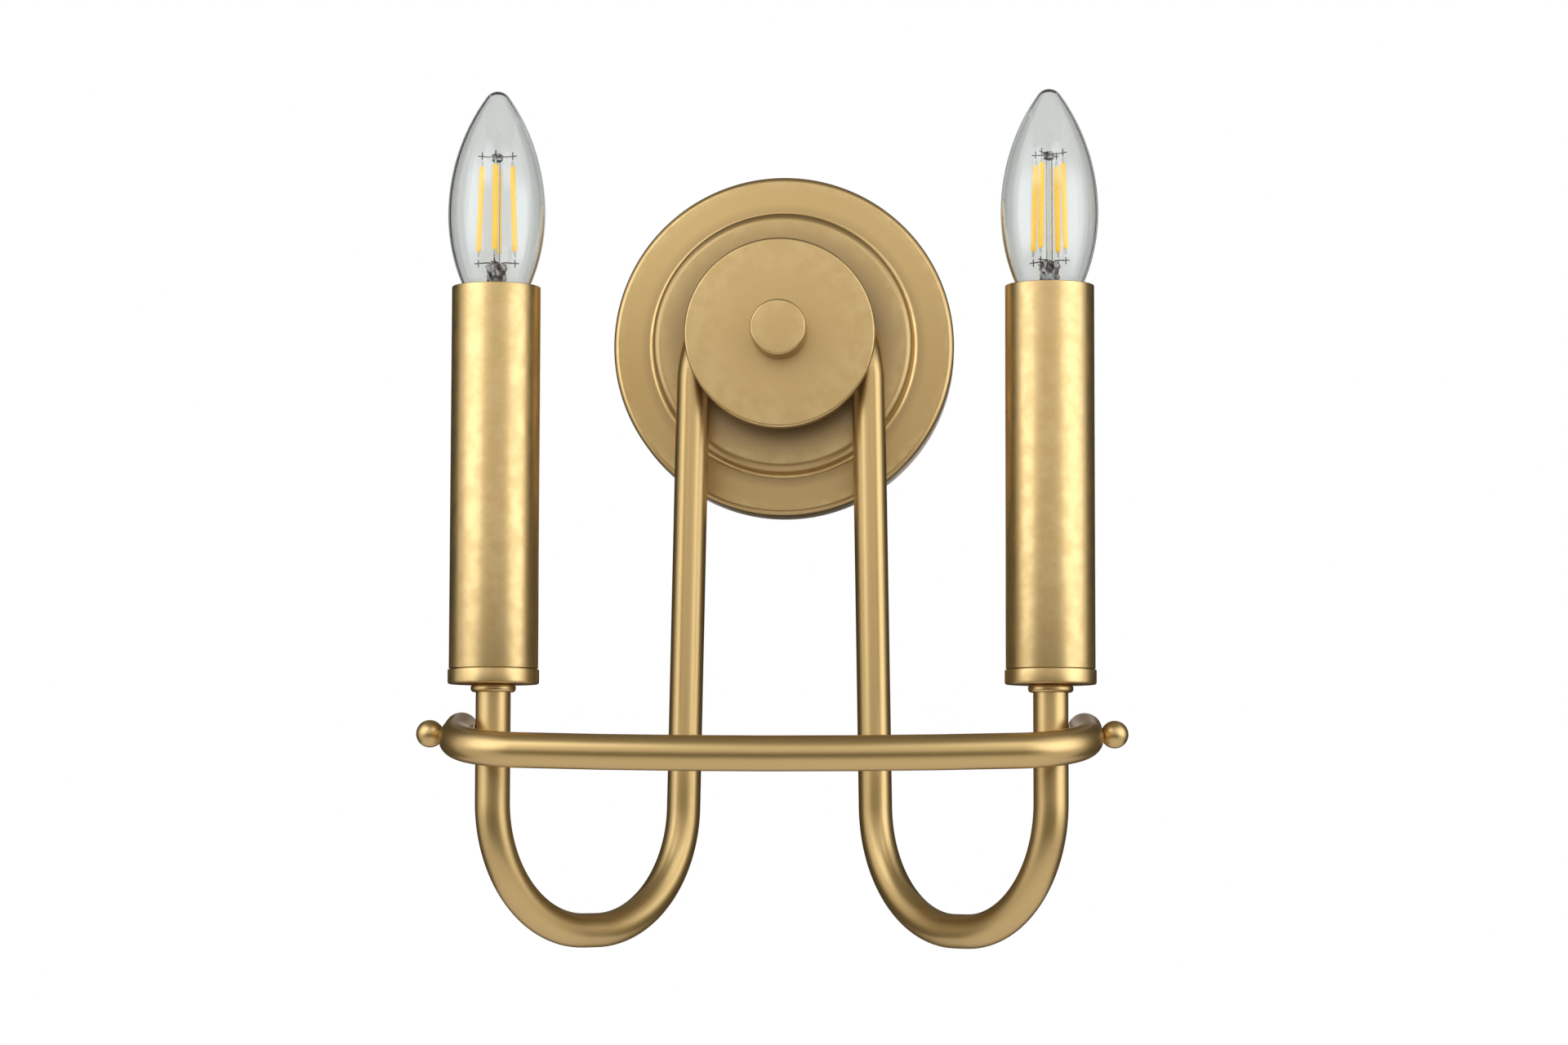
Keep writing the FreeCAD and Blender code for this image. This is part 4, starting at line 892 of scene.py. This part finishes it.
class SCONCE_OT_arms(bpy.types.Operator):
    """Bends both arms from half inch tube and turns their threaded tails"""
    bl_idname = "sconce.arms"
    bl_label = "Arms"

    def execute(self, context):
        size = context.scene.sconce_arms
        face = context.scene.sconce_canopy.face_depth
        for side_name, side in SIDES.items():
            pieces = [self.bend_arm(size, face, side), self.turn_tail(size, face, side)]
            gild(joined(pieces, "arm_" + side_name), "arm_tube_" + side_name, "fixture")
        return {"FINISHED"}

    def bend_arm(self, size, face, side):
        """Out of the canopy, down the leg, round the two bends of the U and up to the candle."""
        bottom = size.top - size.u_drop
        leg_top_height = -size.elbow_radius - 2.0 * MM
        start = Vector((side * size.inlet_x, -face, 0))
        inlet = Vector((side * size.inlet_x, -size.leg_depth, 0))
        leg_top = Vector((side * (size.inlet_x + size.splay), -size.leg_depth, leg_top_height))
        foot = Vector((side * size.foot_x, -size.foot_depth, bottom))
        heel = Vector((side * size.candle_x, -size.candle_depth, bottom))
        top = candle_axis(side) + UP * size.top
        foot_half = (leg_top - foot).angle(heel - foot) / 2
        u_radius = ((heel - foot).length - size.u_straight) / (1 / math.tan(foot_half) + 1)
        corners = [(start, 0), (inlet, size.elbow_radius), (leg_top, 20.0 * MM), (foot, u_radius),
                   (heel, u_radius), (top, 0)]
        return bent_tube("arm", corners, size.tube_radius, size.tube_wall)

    def turn_tail(self, size, face, side):
        """The tail screws through the canopy; its thread is turned as a row of rings."""
        outer, bore = 5.1 * MM, 3.9 * MM
        tooth, pitch = 0.45 * MM, 0.94 * MM
        seat, end = face + 1.2 * MM, face - 9.8 * MM
        outline = [(bore, seat), (outer, seat)]
        crest = face - 0.4 * MM
        while crest > end + 1.2 * MM:
            outline += [(outer, crest), (outer - tooth, crest - tooth), (outer, crest - 2 * tooth)]
            crest -= pitch
        outline += [(outer - 0.4 * MM, end), (bore, end)]
        return lathe("tail", outline, Vector((side * size.inlet_x, 0, 0)), OUT, steps=96)


class SCONCE_OT_candles(bpy.types.Operator):
    """Turns each candle's collar, cup and sleeve"""
    bl_idname = "sconce.candles"
    bl_label = "Candle cups and sleeves"

    def execute(self, context):
        size = context.scene.sconce_candles
        arms = context.scene.sconce_arms
        nipple = arms.tube_radius - arms.tube_wall - FIXED_FIT
        collar_bore, cup_hole = nipple + FIXED_FIT, nipple + PASS_CLEARANCE
        cup_bottom = arms.top + 2.9 * MM
        cup_rim = cup_bottom + 5.3 * MM
        cup_floor = cup_bottom + 1.5 * MM
        sleeve_bore = size.sleeve_radius - size.sleeve_wall
        spigot, spigot_top = sleeve_bore - RUNNING_FIT, cup_rim + 5.0 * MM
        spigot_bore = spigot - 1.2 * MM
        collar = [(collar_bore, arms.top), (size.collar_radius, arms.top, 1.2 * MM),
                  (size.collar_radius, cup_bottom, 1.2 * MM), (collar_bore, cup_bottom)]
        cup = [(cup_hole, cup_bottom), (size.cup_radius, cup_bottom, 0.8 * MM),
               (size.cup_radius, cup_rim, CRISP_EDGE), (spigot, cup_rim), (spigot, spigot_top, BROKEN_EDGE),
               (spigot_bore, spigot_top), (spigot_bore, cup_floor, 0.6 * MM), (cup_hole, cup_floor)]
        sleeve = [(sleeve_bore, size.sleeve_bottom, BROKEN_EDGE),
                  (size.sleeve_radius, size.sleeve_bottom, BROKEN_EDGE),
                  (size.sleeve_radius, size.sleeve_top, BROKEN_EDGE),
                  (sleeve_bore, size.sleeve_top, BROKEN_EDGE)]
        for side_name, side in SIDES.items():
            for piece, outline, steps, body in (
                    ("collar", collar, 128, "fixture"), ("cup", cup, TURN_STEPS, "fixture"),
                    ("sleeve", sleeve, TURN_STEPS, "sleeve_" + side_name)):
                made = lathe(f"{piece}_{side_name}", outline, candle_axis(side), UP, steps)
                gild(made, f"candle_{piece}_{side_name}", body)
        return {"FINISHED"}


BulbLevels = namedtuple("BulbLevels", "widest base_top foot head")


class SCONCE_OT_bulbs(bpy.types.Operator):
    """Blows each bulb's glass and builds its stem, filaments and wires"""
    bl_idname = "sconce.bulbs"
    bl_label = "Bulbs"

    def execute(self, context):
        size = context.scene.sconce_bulbs
        levels = self.find_levels(size, context.scene.sconce_candles.sleeve_top)
        for side_name, side in SIDES.items():
            self.blow_glass(size, levels, side_name, side)
            self.press_stem(size, levels, side_name, side)
            self.string_filaments(size, levels, side_name, side)
        return {"FINISHED"}

    def find_levels(self, size, sleeve_top):
        """Heights that the pieces of a bulb share."""
        widest = sleeve_top + size.widest
        reach = size.lower_arc - size.radius + size.shoulder
        foot = widest - 13.8 * MM
        return BulbLevels(
            widest=widest, base_top=widest - math.sqrt(size.lower_arc ** 2 - reach ** 2),
            foot=foot, head=foot + math.sqrt(size.filament_length ** 2 - STRIP_LEAN ** 2))

    def blow_glass(self, size, levels, side_name, side):
        neck_bottom = levels.base_top - NECK_DEPTH
        inner_neck = size.neck - size.wall
        inside = self.glass_profile(size, levels.widest, size.wall)
        outline = self.glass_profile(size, levels.widest, 0.0)
        outline += [(size.neck + 0.3 * MM, levels.base_top - 0.5 * MM),
                    (size.neck, levels.base_top - 1.2 * MM), (size.neck, neck_bottom),
                    (inner_neck, neck_bottom), (inner_neck, inside[-1][1] - MM)]
        outline += inside[::-1]
        glass = lathe("glass_" + side_name, outline, candle_axis(side), UP, steps=160)
        give_finish(glass, clear_glass())
        hand_over(glass, "bulb_glass_" + side_name, "bulb_" + side_name)

    def glass_profile(self, size, widest, thinner):
        """(radius, height) points from the tip to the shoulder, along three tangent arcs."""
        lower_centre = size.radius - size.lower_arc
        upper_centre = size.radius - size.upper_arc
        tip_height = widest + math.sqrt((size.upper_arc - size.tip_radius) ** 2 - upper_centre ** 2)
        tip_angle = math.atan2(tip_height - widest, -upper_centre)
        shoulder_angle = -math.acos((size.shoulder - thinner - lower_centre) / (size.lower_arc - thinner))
        points = []
        for centre, height, radius, first, last, count in (
                (0.0, tip_height, size.tip_radius - thinner, math.pi / 2, tip_angle, 14),
                (upper_centre, widest, size.upper_arc - thinner, tip_angle, 0.0, 40),
                (lower_centre, widest, size.lower_arc - thinner, 0.0, shoulder_angle, 30)):
            for step in range(count + 1):
                angle = first + (last - first) * step / count
                point = (centre + radius * math.cos(angle), height + radius * math.sin(angle))
                if not points or math.dist(points[-1], point) > SAME_PLACE:
                    points.append(point)
        points[0] = (0.0, points[0][1])
        return points

    def press_stem(self, size, levels, side_name, side):
        """A flared glass stem, pinched flat over the lead-in wires, with a hollow rod and its bead above."""
        axis = candle_axis(side)
        bottom = levels.base_top - NECK_DEPTH
        pinch_top = levels.widest - 17.7 * MM
        rod_top = levels.head + SPOKE_RISE + 0.8 * MM
        flare = size.neck - size.wall - FIXED_FIT
        rod_radius, rod_bore, foot_bore, bead = 1.2 * MM, 0.9 * MM, 2.3 * MM, 1.9 * MM
        folds = 14
        outline = [(foot_bore, bottom), (flare, bottom), (3.4 * MM, bottom + 2.5 * MM),
                   (3.0 * MM, bottom + 3.6 * MM)]
        for step in range(folds):
            outline.append((3.05 * MM + 0.4 * MM * step / folds, pinch_top - 8.5 * MM + 0.55 * MM * step))
        outline += [
            (3.0 * MM, pinch_top - 0.6 * MM, 0.6 * MM), (rod_radius, pinch_top, BROKEN_EDGE),
            (rod_radius, pinch_top + 4 * MM), (rod_radius, levels.widest), (rod_radius, rod_top - 3.1 * MM),
            (bead, rod_top - 2.5 * MM, BROKEN_EDGE), (1.95 * MM, rod_top - 1.6 * MM, BROKEN_EDGE),
            (bead, rod_top - 0.8 * MM, BROKEN_EDGE), (rod_radius, rod_top, CRISP_EDGE),
            (rod_bore, rod_top), (rod_bore, pinch_top - 2.5 * MM), (1.6 * MM, pinch_top - 4.5 * MM),
            (foot_bore, pinch_top - 7 * MM)]
        stem = lathe("stem_" + side_name, outline, axis, UP, steps=72)
        self.crumple(stem, axis, pinch_top - 9.0 * MM, pinch_top - 0.5 * MM, core=2.6 * MM, flatten=-0.20)
        self.crumple(stem, axis, rod_top - 2.9 * MM, rod_top, core=1.4 * MM, flatten=0.02)
        plain = (pinch_top + 0.2 * MM, rod_top - 2.8 * MM)
        give_finish(stem, pressed_glass(), clear_glass(), lambda face: plain[0] < face.center.z < plain[1])
        hand_over(stem, "bulb_stem_" + side_name, "bulb_" + side_name)

    def crumple(self, stem, axis, bottom, top, core, flatten):
        """Pushes a length of the hot glass in and out round its core, and flattens it."""
        for vert in stem.data.vertices:
            offset = vert.co - axis
            if not (bottom < vert.co.z < top and math.hypot(offset.x, offset.y) > core):
                continue
            angle = math.atan2(offset.y, offset.x)
            depth = (top - vert.co.z) / MM
            lump = 0.10 * math.sin(4 * angle + 1.3 * depth) + 0.08 * math.sin(7 * angle - 2.1 * depth)
            fade = min(1.0, (vert.co.z - bottom) / (3 * MM))
            vert.co.x += offset.x * fade * (lump + 0.04)
            vert.co.y += offset.y * fade * (lump + flatten)
        settle(stem, 12.0)

    def string_filaments(self, size, levels, side_name, side):
        """The ring of strips and the wires that hold them; the right bulb's ring is turned a little."""
        axis = candle_axis(side)
        first_angle = -90 if side < 0 else -120
        strips, wires = [], []
        for index in range(size.filaments):
            angle = math.radians(first_angle + index * 360 / size.filaments)
            heading = Vector((math.cos(angle), math.sin(angle), 0))
            low = axis + heading * FOOT_SPREAD + UP * levels.foot
            high = axis + heading * HEAD_SPREAD + UP * levels.head
            strips.append(self.coat_strip(size, low, high))
            wires += self.hang_strip(axis, heading, low, high)
        filaments = joined(strips, "filaments_" + side_name)
        give_finish(filaments, filament_phosphor(), strip_end(),
                    lambda face: not levels.foot <= face.center.z <= levels.head)
        hand_over(filaments, "bulb_filaments_" + side_name, "bulb_" + side_name)
        wires += self.lead_in_wires(axis, levels.foot - SPOKE_DROP)
        for level, lean in ((levels.head + 3.5 * MM, 22.0), (levels.head + 2.9 * MM, -27.0),
                            (levels.foot - 4.1 * MM, 18.0)):
            wires.append(self.twist(axis + UP * level, lean))
        spiders = joined(wires, "wires_" + side_name)
        give_finish(spiders, support_wire())
        hand_over(spiders, "bulb_wires_" + side_name, "bulb_" + side_name)

    def coat_strip(self, size, low, high):
        """One strip, coated thicker in the middle and rounded off at both ends, with a tab at each."""
        radius = size.filament_radius
        span = (high - low).length
        tab, tab_root, tab_tip = 1.9 * MM, 0.42 * MM, 0.3 * MM
        outline = [
            (0, -tab), (tab_tip, -tab, 0.1 * MM), (tab_root, 0), (radius * 0.6, 0, 0.1 * MM),
            (radius * 0.94, 0.7 * MM, BROKEN_EDGE), (radius, 3 * MM), (radius, span / 2),
            (radius, span - 3 * MM), (radius * 0.94, span - 0.7 * MM, BROKEN_EDGE),
            (radius * 0.6, span, 0.1 * MM), (tab_root, span), (tab_tip, span + tab, 0.1 * MM),
            (0, span + tab)]
        strip = lathe("strip", outline, Vector(), UP, steps=32, rounding=3)
        turn = (high - low).normalized().to_track_quat("Z", "Y").to_matrix().to_4x4()
        strip.data.transform(Matrix.Translation(low) @ turn)
        return strip

    def hang_strip(self, axis, heading, low, high):
        """A spoke from the rod past each end of a strip, and the short pin that crosses it there."""
        pieces = []
        wire, pin = 0.22 * MM, UP * 1.35 * MM
        for end, past in ((low, -SPOKE_DROP), (high, SPOKE_RISE)):
            level = end + UP * past
            hub = Vector((axis.x, axis.y, level.z))
            dip = UP * math.copysign(0.35 * MM, -past)
            corners = [(hub + heading * 0.9 * MM, 0), (hub + heading * 3.2 * MM + dip, 3 * MM),
                       (level + heading * 1.5 * MM, 0)]
            pieces.append(bent_tube("spoke", corners, wire, sides=WIRE_SIDES))
            pieces.append(bent_tube("pin", [(level - pin, 0), (level + pin, 0)], wire, sides=WIRE_SIDES))
        return pieces

    def twist(self, centre, lean):
        """One turn of thin wire round the rod."""
        reach, wire = 2.15 * MM, 0.15 * MM
        angles = [math.tau * step / WIRE_SIDES for step in range(WIRE_SIDES)]
        section = [(reach + wire * math.cos(angle), wire * math.sin(angle)) for angle in angles]
        turn = lathe("twist", section, Vector(), UP, steps=24)
        turn.data.transform(Matrix.Translation(centre) @ Matrix.Rotation(math.radians(lean), 4, "Y"))
        return turn

    def lead_in_wires(self, axis, level):
        """Two wires that rise out of the stem to the lower spokes."""
        pieces = []
        for side in SIDES.values():
            corners = [(axis + X * side * 1.5 * MM + UP * (level - 10 * MM), 0),
                       (axis + X * side * 1.7 * MM + UP * (level - 2.2 * MM), 2 * MM),
                       (axis + X * side * 2.6 * MM + UP * level, 0)]
            pieces.append(bent_tube("lead_in", corners, 0.25 * MM, sides=WIRE_SIDES))
        return pieces


class SCONCE_OT_crossbar(bpy.types.Operator):
    """Bends the crossbar and turns its end plugs and ball screws"""
    bl_idname = "sconce.crossbar"
    bl_label = "Crossbar"

    def execute(self, context):
        arms = context.scene.sconce_arms
        size = context.scene.sconce_crossbar
        pivot = Vector((0, -arms.candle_depth, size.pivot_height))
        washer, seat = 0.4 * MM, 0.05 * MM
        inner_flat, outer_flat = 0.75 * MM, 0.5 * MM
        inner_spot = arms.candle_x + arms.tube_radius + washer + 2 * seat
        end_x = inner_spot - inner_flat + arms.tube_radius
        screw_seat = end_x + arms.tube_radius - outer_flat
        bar = self.bend_bar(size, arms, pivot, end_x)
        self.spot_face(bar, pivot, inner_spot, screw_seat)
        self.droop(bar, pivot, size)
        gild(bar, "crossbar", "crossbar")
        self.turn_plugs(size, arms, pivot, end_x)
        self.turn_screws(size, arms, pivot, screw_seat + seat)
        return {"FINISHED"}

    def bend_bar(self, size, arms, pivot, end_x):
        """Forward from one tail, round a corner, along the bow, round the other corner and back."""
        corner_x = end_x - size.corner_radius
        bow_centre = size.reach - size.bow_radius
        corner_reach = bow_centre + math.sqrt((size.bow_radius - size.corner_radius) ** 2 - corner_x ** 2)
        turn = math.atan2(corner_reach - bow_centre, corner_x)
        tail = pivot + Vector((-end_x, size.tail, 0))
        bar = ring("crossbar_tube", tail, OUT, arms.tube_radius, TUBE_SIDES)
        pull(OUT * (size.tail + corner_reach))
        bend(pivot + Vector((-corner_x, -corner_reach, 0)), UP, turn)
        bend(pivot + Vector((0, -bow_centre, 0)), UP, math.pi - 2 * turn)
        bend(pivot + Vector((corner_x, -corner_reach, 0)), UP, turn)
        pull(-OUT * (size.tail + corner_reach))
        return close_tube(bar, BAR_WALL)

    def spot_face(self, bar, pivot, inner_spot, screw_seat):
        """Flats for the washer and the screw, and the screw's hole through the tube."""
        washer_flat, screw_flat, screw_hole, reach = 4.6 * MM, 3.2 * MM, 2.06 * MM, 6.35 * MM
        cutters = []
        for side in SIDES.values():
            inner = pivot + X * (side * inner_spot)
            outer = pivot + X * (side * screw_seat)
            past = X * (side * reach)
            cutters += [rod(washer_flat, inner - past, inner), rod(screw_flat, outer, outer + past),
                        rod(screw_hole, inner - past, outer + past)]
        cut_by(bar, cutters)

    def droop(self, made, pivot, size):
        """Tilts a piece of the bar about its pivots, so that the front hangs lower."""
        turn = Matrix.Rotation(size.droop, 4, "X")
        made.data.transform(Matrix.Translation(pivot) @ turn @ Matrix.Translation(-pivot))

    def turn_plugs(self, size, arms, pivot, end_x):
        """A cap with a spigot for each end of the bar."""
        spigot = arms.tube_radius - BAR_WALL - FIXED_FIT
        spigot_end, cap = -3.8 * MM, 1.2 * MM
        outline = [(0, spigot_end), (spigot, spigot_end, BROKEN_EDGE), (spigot, 0),
                   (arms.tube_radius, 0, 0.1 * MM), (arms.tube_radius, cap, 0.9 * MM), (0, cap)]
        plugs = []
        for side in SIDES.values():
            bar_end = pivot + Vector((side * end_x, size.tail, 0))
            plug = lathe("plug", outline, bar_end, -OUT, steps=96)
            self.droop(plug, pivot, size)
            plugs.append(plug)
        gild(joined(plugs, "crossbar_end_plugs"), "crossbar_plugs", "crossbar")

    def turn_screws(self, size, arms, pivot, seat):
        """Screws with ball heads, from inside the arm's tube to the ball outside the bar."""
        shank, neck = 2.0 * MM, 2.2 * MM
        tip = arms.candle_x + arms.tube_radius - arms.tube_wall - 1.2 * MM
        neck_depth = math.sqrt(size.ball_radius ** 2 - neck ** 2)
        centre = seat + 0.1 * MM + neck_depth
        outline = [(0, tip), (shank, tip, CRISP_EDGE), (shank, seat), (neck, seat)]
        neck_angle = math.atan2(neck, -neck_depth)
        for step in range(BALL_STEPS + 1):
            angle = neck_angle * (1 - step / BALL_STEPS)
            outline.append((size.ball_radius * math.sin(angle), centre + size.ball_radius * math.cos(angle)))
        outline[-1] = (0, centre + size.ball_radius)
        screws = [lathe("ball", outline, pivot, X * side, steps=96) for side in SIDES.values()]
        gild(joined(screws, "ball_head_screws"), "ball_screws", "fixture")


class SCONCE_OT_connectors(bpy.types.Operator):
    """Moulds the two ribbed twist-on connectors in the canopy"""
    bl_idname = "sconce.connectors"
    bl_label = "Wire connectors"

    def execute(self, context):
        bore, bore_end, end = 2.5 * MM, 14 * MM, 22 * MM
        outline = [(bore, 0), (5.7 * MM, 0, 0.8 * MM), (5.5 * MM, 4 * MM), (4.0 * MM, end, 1.5 * MM),
                   (0, end), (0, bore_end), (bore, bore_end)]
        for pole_name, pole in (("live", 1), ("neutral", -1)):
            node = "wire_connector_" + pole_name
            low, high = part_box(node)
            centre = (low + high) / 2
            mouth = Vector((centre.x, centre.y, low.z if pole > 0 else high.z))
            shell = lathe("connector_" + pole_name, outline, mouth, UP * pole, steps=96)
            self.rib(shell, mouth, pole)
            give_finish(shell, connector_plastic())
            hand_over(shell, node, "fixture")
        return {"FINISHED"}

    def rib(self, shell, mouth, pole):
        """Pushes the outside into grip ribs that run along the connector."""
        ribs, height = 12, 0.28 * MM
        for vert in shell.data.vertices:
            offset = vert.co - mouth
            flat = Vector((offset.x, offset.y, 0))
            if 3.5 * MM < offset.z * pole < 19 * MM and flat.length > 3.8 * MM:
                wave = math.cos(ribs * math.atan2(offset.y, offset.x))
                vert.co += flat.normalized() * (height * max(0.0, wave))
        settle(shell, 50.0)


HARDWARE_FINISHES = {
    "steel": zinc_steel, "brass": machined_brass, "nickel": bright_nickel, "phenolic": phenolic,
    "black_glass": black_glass, "green_paint": green_paint, "lead_black": black_insulation,
    "lead_white": white_insulation, "nylon": nylon, "gold": satin_gold,
}


class SCONCE_OT_hardware(bpy.types.Operator):
    """Finishes the straps, nuts, holders and leads that keep the frame's own solids"""
    bl_idname = "sconce.hardware"
    bl_label = "Hardware finishes"

    def execute(self, context):
        for node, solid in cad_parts.items():
            if solid.hide_render:
                continue
            slots = solid.material_slots
            known = slots[0].material.name.split(".")[0]
            if known not in HARDWARE_FINISHES:
                raise RuntimeError(f"{node} has no finish for its slot {known}")
            for place in slots:
                place.material = HARDWARE_FINISHES[known]()
        return {"FINISHED"}


class SCONCE_OT_stage(bpy.types.Operator):
    """Sets the pale floor, the soft lamps, the dark cards, the room's light and the camera"""
    bl_idname = "sconce.stage"
    bl_label = "Stage"

    def execute(self, context):
        settings = context.scene.sconce_stage
        self.lay_floor(settings)
        self.hang_lamps(context, settings)
        self.stand_cards(settings)
        self.light_room(context, settings)
        self.place_camera(context, settings)
        context.scene.view_settings.view_transform = "Standard"
        return {"FINISHED"}

    def lay_floor(self, settings):
        clear_table()
        place = (0, 0, FLOOR_HEIGHT)
        bpy.ops.mesh.primitive_circle_add(vertices=96, radius=4.0, fill_type="NGON", location=place)
        floor = named("floor")
        tone = finish_named("pale_floor")
        base = tone.mix(tone.noise(6.0, 4.0) * 0.12, settings.floor, (0.80, 0.795, 0.785))
        glow = tone.mix(self.seen(tone), (0.0, 0.0, 0.0), (0.240, 0.238, 0.235))
        give_finish(floor, tone.surface({
            "Base Color": base, "Roughness": 0.75, "Emission Color": glow, "Emission Strength": 1.0}))

    def hang_lamps(self, context, settings):
        """Soft boxes at both sides and above, all turned to the middle of the sconce."""
        target = Vector((0, -0.08, -0.02))
        for name, place, width, height, watts in (
                ("left_lamp", (-0.49, -0.44, 0.09), 0.64, 0.72, settings.left_lamp),
                ("right_lamp", (0.64, -0.46, 0.04), 1.00, 0.86, settings.right_lamp),
                ("upper_left_lamp", (-0.35, -0.80, 0.52), 0.50, 0.50, settings.upper_lamp),
                ("upper_right_lamp", (0.35, -0.80, 0.52), 0.50, 0.50, 0.8 * settings.upper_lamp)):
            lamp = bpy.data.lights.new(name, "AREA")
            self.soften(lamp)
            lamp.color = settings.lamp_tone
            lamp.shape = "RECTANGLE"
            lamp.size, lamp.size_y = width, height
            lamp.energy = watts
            stand = bpy.data.objects.new(name, lamp)
            stand.location = place
            stand.rotation_euler = (target - Vector(place)).to_track_quat("-Z", "Y").to_euler()
            stand.visible_camera = False
            context.scene.collection.objects.link(stand)

    def soften(self, lamp):
        """Fades a lamp toward its four edges, as a soft box does."""
        box = Finish(lamp)
        spot = box.node("ShaderNodeNewGeometry", output="Parametric")
        across = box.node("ShaderNodeSeparateXYZ", {}, {"Vector": spot}, output="X")
        upward = box.node("ShaderNodeSeparateXYZ", {}, {"Vector": spot}, output="Y")
        fade = 0.3
        sides = box.step(across, 0.0, fade) * box.step(1 - across, 0.0, fade)
        ends = box.step(upward, 0.0, fade) * box.step(1 - upward, 0.0, fade)
        glow = box.node("ShaderNodeEmission", {}, {"Strength": sides * ends})
        box.node("ShaderNodeOutputLight", {}, {"Surface": glow})

    def stand_cards(self, settings):
        """Cards that only the metal, or only the glass, sees give them their darker edges."""
        dark = self.card_finish("dark_card", settings.dark_card)
        grey = self.card_finish("grey_card", settings.grey_card)
        for name, place, size, finish, for_glass in (
                ("left_card", (-0.60, 1.24, 0.08), (0.02, 2.53, 1.34), dark, False),
                ("right_card", (0.60, 1.24, 0.08), (0.02, 2.53, 1.34), dark, False),
                ("top_card", (0.0, 0.70, 0.75), (1.1, 3.6, 0.02), grey, False),
                ("low_back_card", (0.0, 0.30, -0.33), (0.8, 0.02, 0.50), dark, False),
                ("low_front_card", (0.0, -0.60, -0.28), (1.0, 0.02, 0.26), dark, False),
                ("left_edge_card", (-0.58, 0.350, 0.06), (0.02, 0.75, 1.28), dark, True),
                ("right_edge_card", (0.58, 0.350, 0.06), (0.02, 0.75, 1.28), dark, True),
                ("top_edge_card", (0.0, 0.500, 0.72), (1.1, 1.05, 0.02), dark, True)):
            clear_table()
            bpy.ops.mesh.primitive_cube_add(size=1.0, location=place, scale=size)
            card = named(name)
            bpy.ops.object.transform_apply(location=True, rotation=True, scale=True)
            give_finish(card, finish)
            card.visible_camera = card.visible_shadow = card.visible_diffuse = False
            card.visible_transmission = for_glass
            card.visible_glossy = not for_glass

    def card_finish(self, name, tone):
        card = finish_named(name)
        base = card.mix(card.noise(30.0, 2.0) * 0.3, tone, [1.5 * part for part in tone])
        return card.surface({"Base Color": base, "Roughness": 0.9})

    def seen(self, tone):
        """1 for what is seen straight, in a gloss or through glass, and 0 for the light on the object."""
        straight, gloss, through = [tone.node("ShaderNodeLightPath", output=f"Is {kind} Ray")
                                    for kind in ("Camera", "Glossy", "Transmission")]
        return tone.node("ShaderNodeMath", {"operation": "ADD", "use_clamp": True},
                         {0: straight + gloss, 1: through})

    def light_room(self, context, settings):
        """White where it is seen, and dimmer where it lights the object."""
        world = bpy.data.worlds.new("room")
        context.scene.world = world
        room = Finish(world)
        strength = settings.fill + (1.0 - settings.fill) * self.seen(room)
        light = room.node("ShaderNodeBackground", {}, {"Color": (1.0, 1.0, 1.0, 1.0), "Strength": strength})
        room.node("ShaderNodeOutputWorld", {}, {"Surface": light})

    def place_camera(self, context, settings):
        eye = bpy.data.cameras.new("camera")
        eye.sensor_width = 36.0
        eye.lens = settings.lens
        camera = bpy.data.objects.new("camera", eye)
        camera.location = CAMERA_PLACE
        turn = CAMERA_SIGHT.to_track_quat("-Z", "Y").to_matrix() @ Matrix.Rotation(CAMERA_ROLL, 3, "Z")
        camera.rotation_euler = turn.to_euler()
        context.scene.collection.objects.link(camera)
        context.scene.camera = camera


class SCONCE_PT_panel(bpy.types.Panel):
    """Lists the sconce's sizes, colours and steps"""
    bl_idname = "SCONCE_PT_panel"
    bl_label = "Wall Sconce"
    bl_space_type = "VIEW_3D"
    bl_region_type = "UI"
    bl_category = "Sconce"

    def draw(self, context):
        for group in GROUPS:
            box = self.layout.box()
            box.label(text=group.removeprefix("sconce_").title())
            values = getattr(context.scene, group)
            for name in values.bl_rna.properties.keys():
                if name not in ("rna_type", "name"):
                    box.prop(values, name)
        for step in STEPS:
            self.layout.operator(step.bl_idname)


GROUPS = {
    "sconce_canopy": SconceCanopySizes, "sconce_cover": SconceCoverSizes,
    "sconce_arms": SconceArmSizes, "sconce_candles": SconceCandleSizes,
    "sconce_bulbs": SconceBulbSizes, "sconce_crossbar": SconceCrossbarSizes,
    "sconce_colours": SconceFinishColours, "sconce_stage": SconceStageSettings,
}
STEPS = (SCONCE_OT_canopy, SCONCE_OT_cover, SCONCE_OT_arms, SCONCE_OT_candles, SCONCE_OT_bulbs,
         SCONCE_OT_crossbar, SCONCE_OT_connectors, SCONCE_OT_hardware, SCONCE_OT_stage)


def register():
    for name, group in GROUPS.items():
        bpy.utils.register_class(group)
        setattr(bpy.types.Scene, name, PointerProperty(type=group))
    for step in STEPS:
        bpy.utils.register_class(step)
    bpy.utils.register_class(SCONCE_PT_panel)


def unregister():
    bpy.utils.unregister_class(SCONCE_PT_panel)
    for step in reversed(STEPS):
        bpy.utils.unregister_class(step)
    for name, group in reversed(GROUPS.items()):
        delattr(bpy.types.Scene, name)
        bpy.utils.unregister_class(group)


def main():
    register()
    bpy.ops.sconce.canopy()
    bpy.ops.sconce.cover()
    bpy.ops.sconce.arms()
    bpy.ops.sconce.candles()
    bpy.ops.sconce.bulbs()
    bpy.ops.sconce.crossbar()
    bpy.ops.sconce.connectors()
    bpy.ops.sconce.hardware()
    bpy.ops.sconce.stage()


if __name__ == "__main__":
    main()
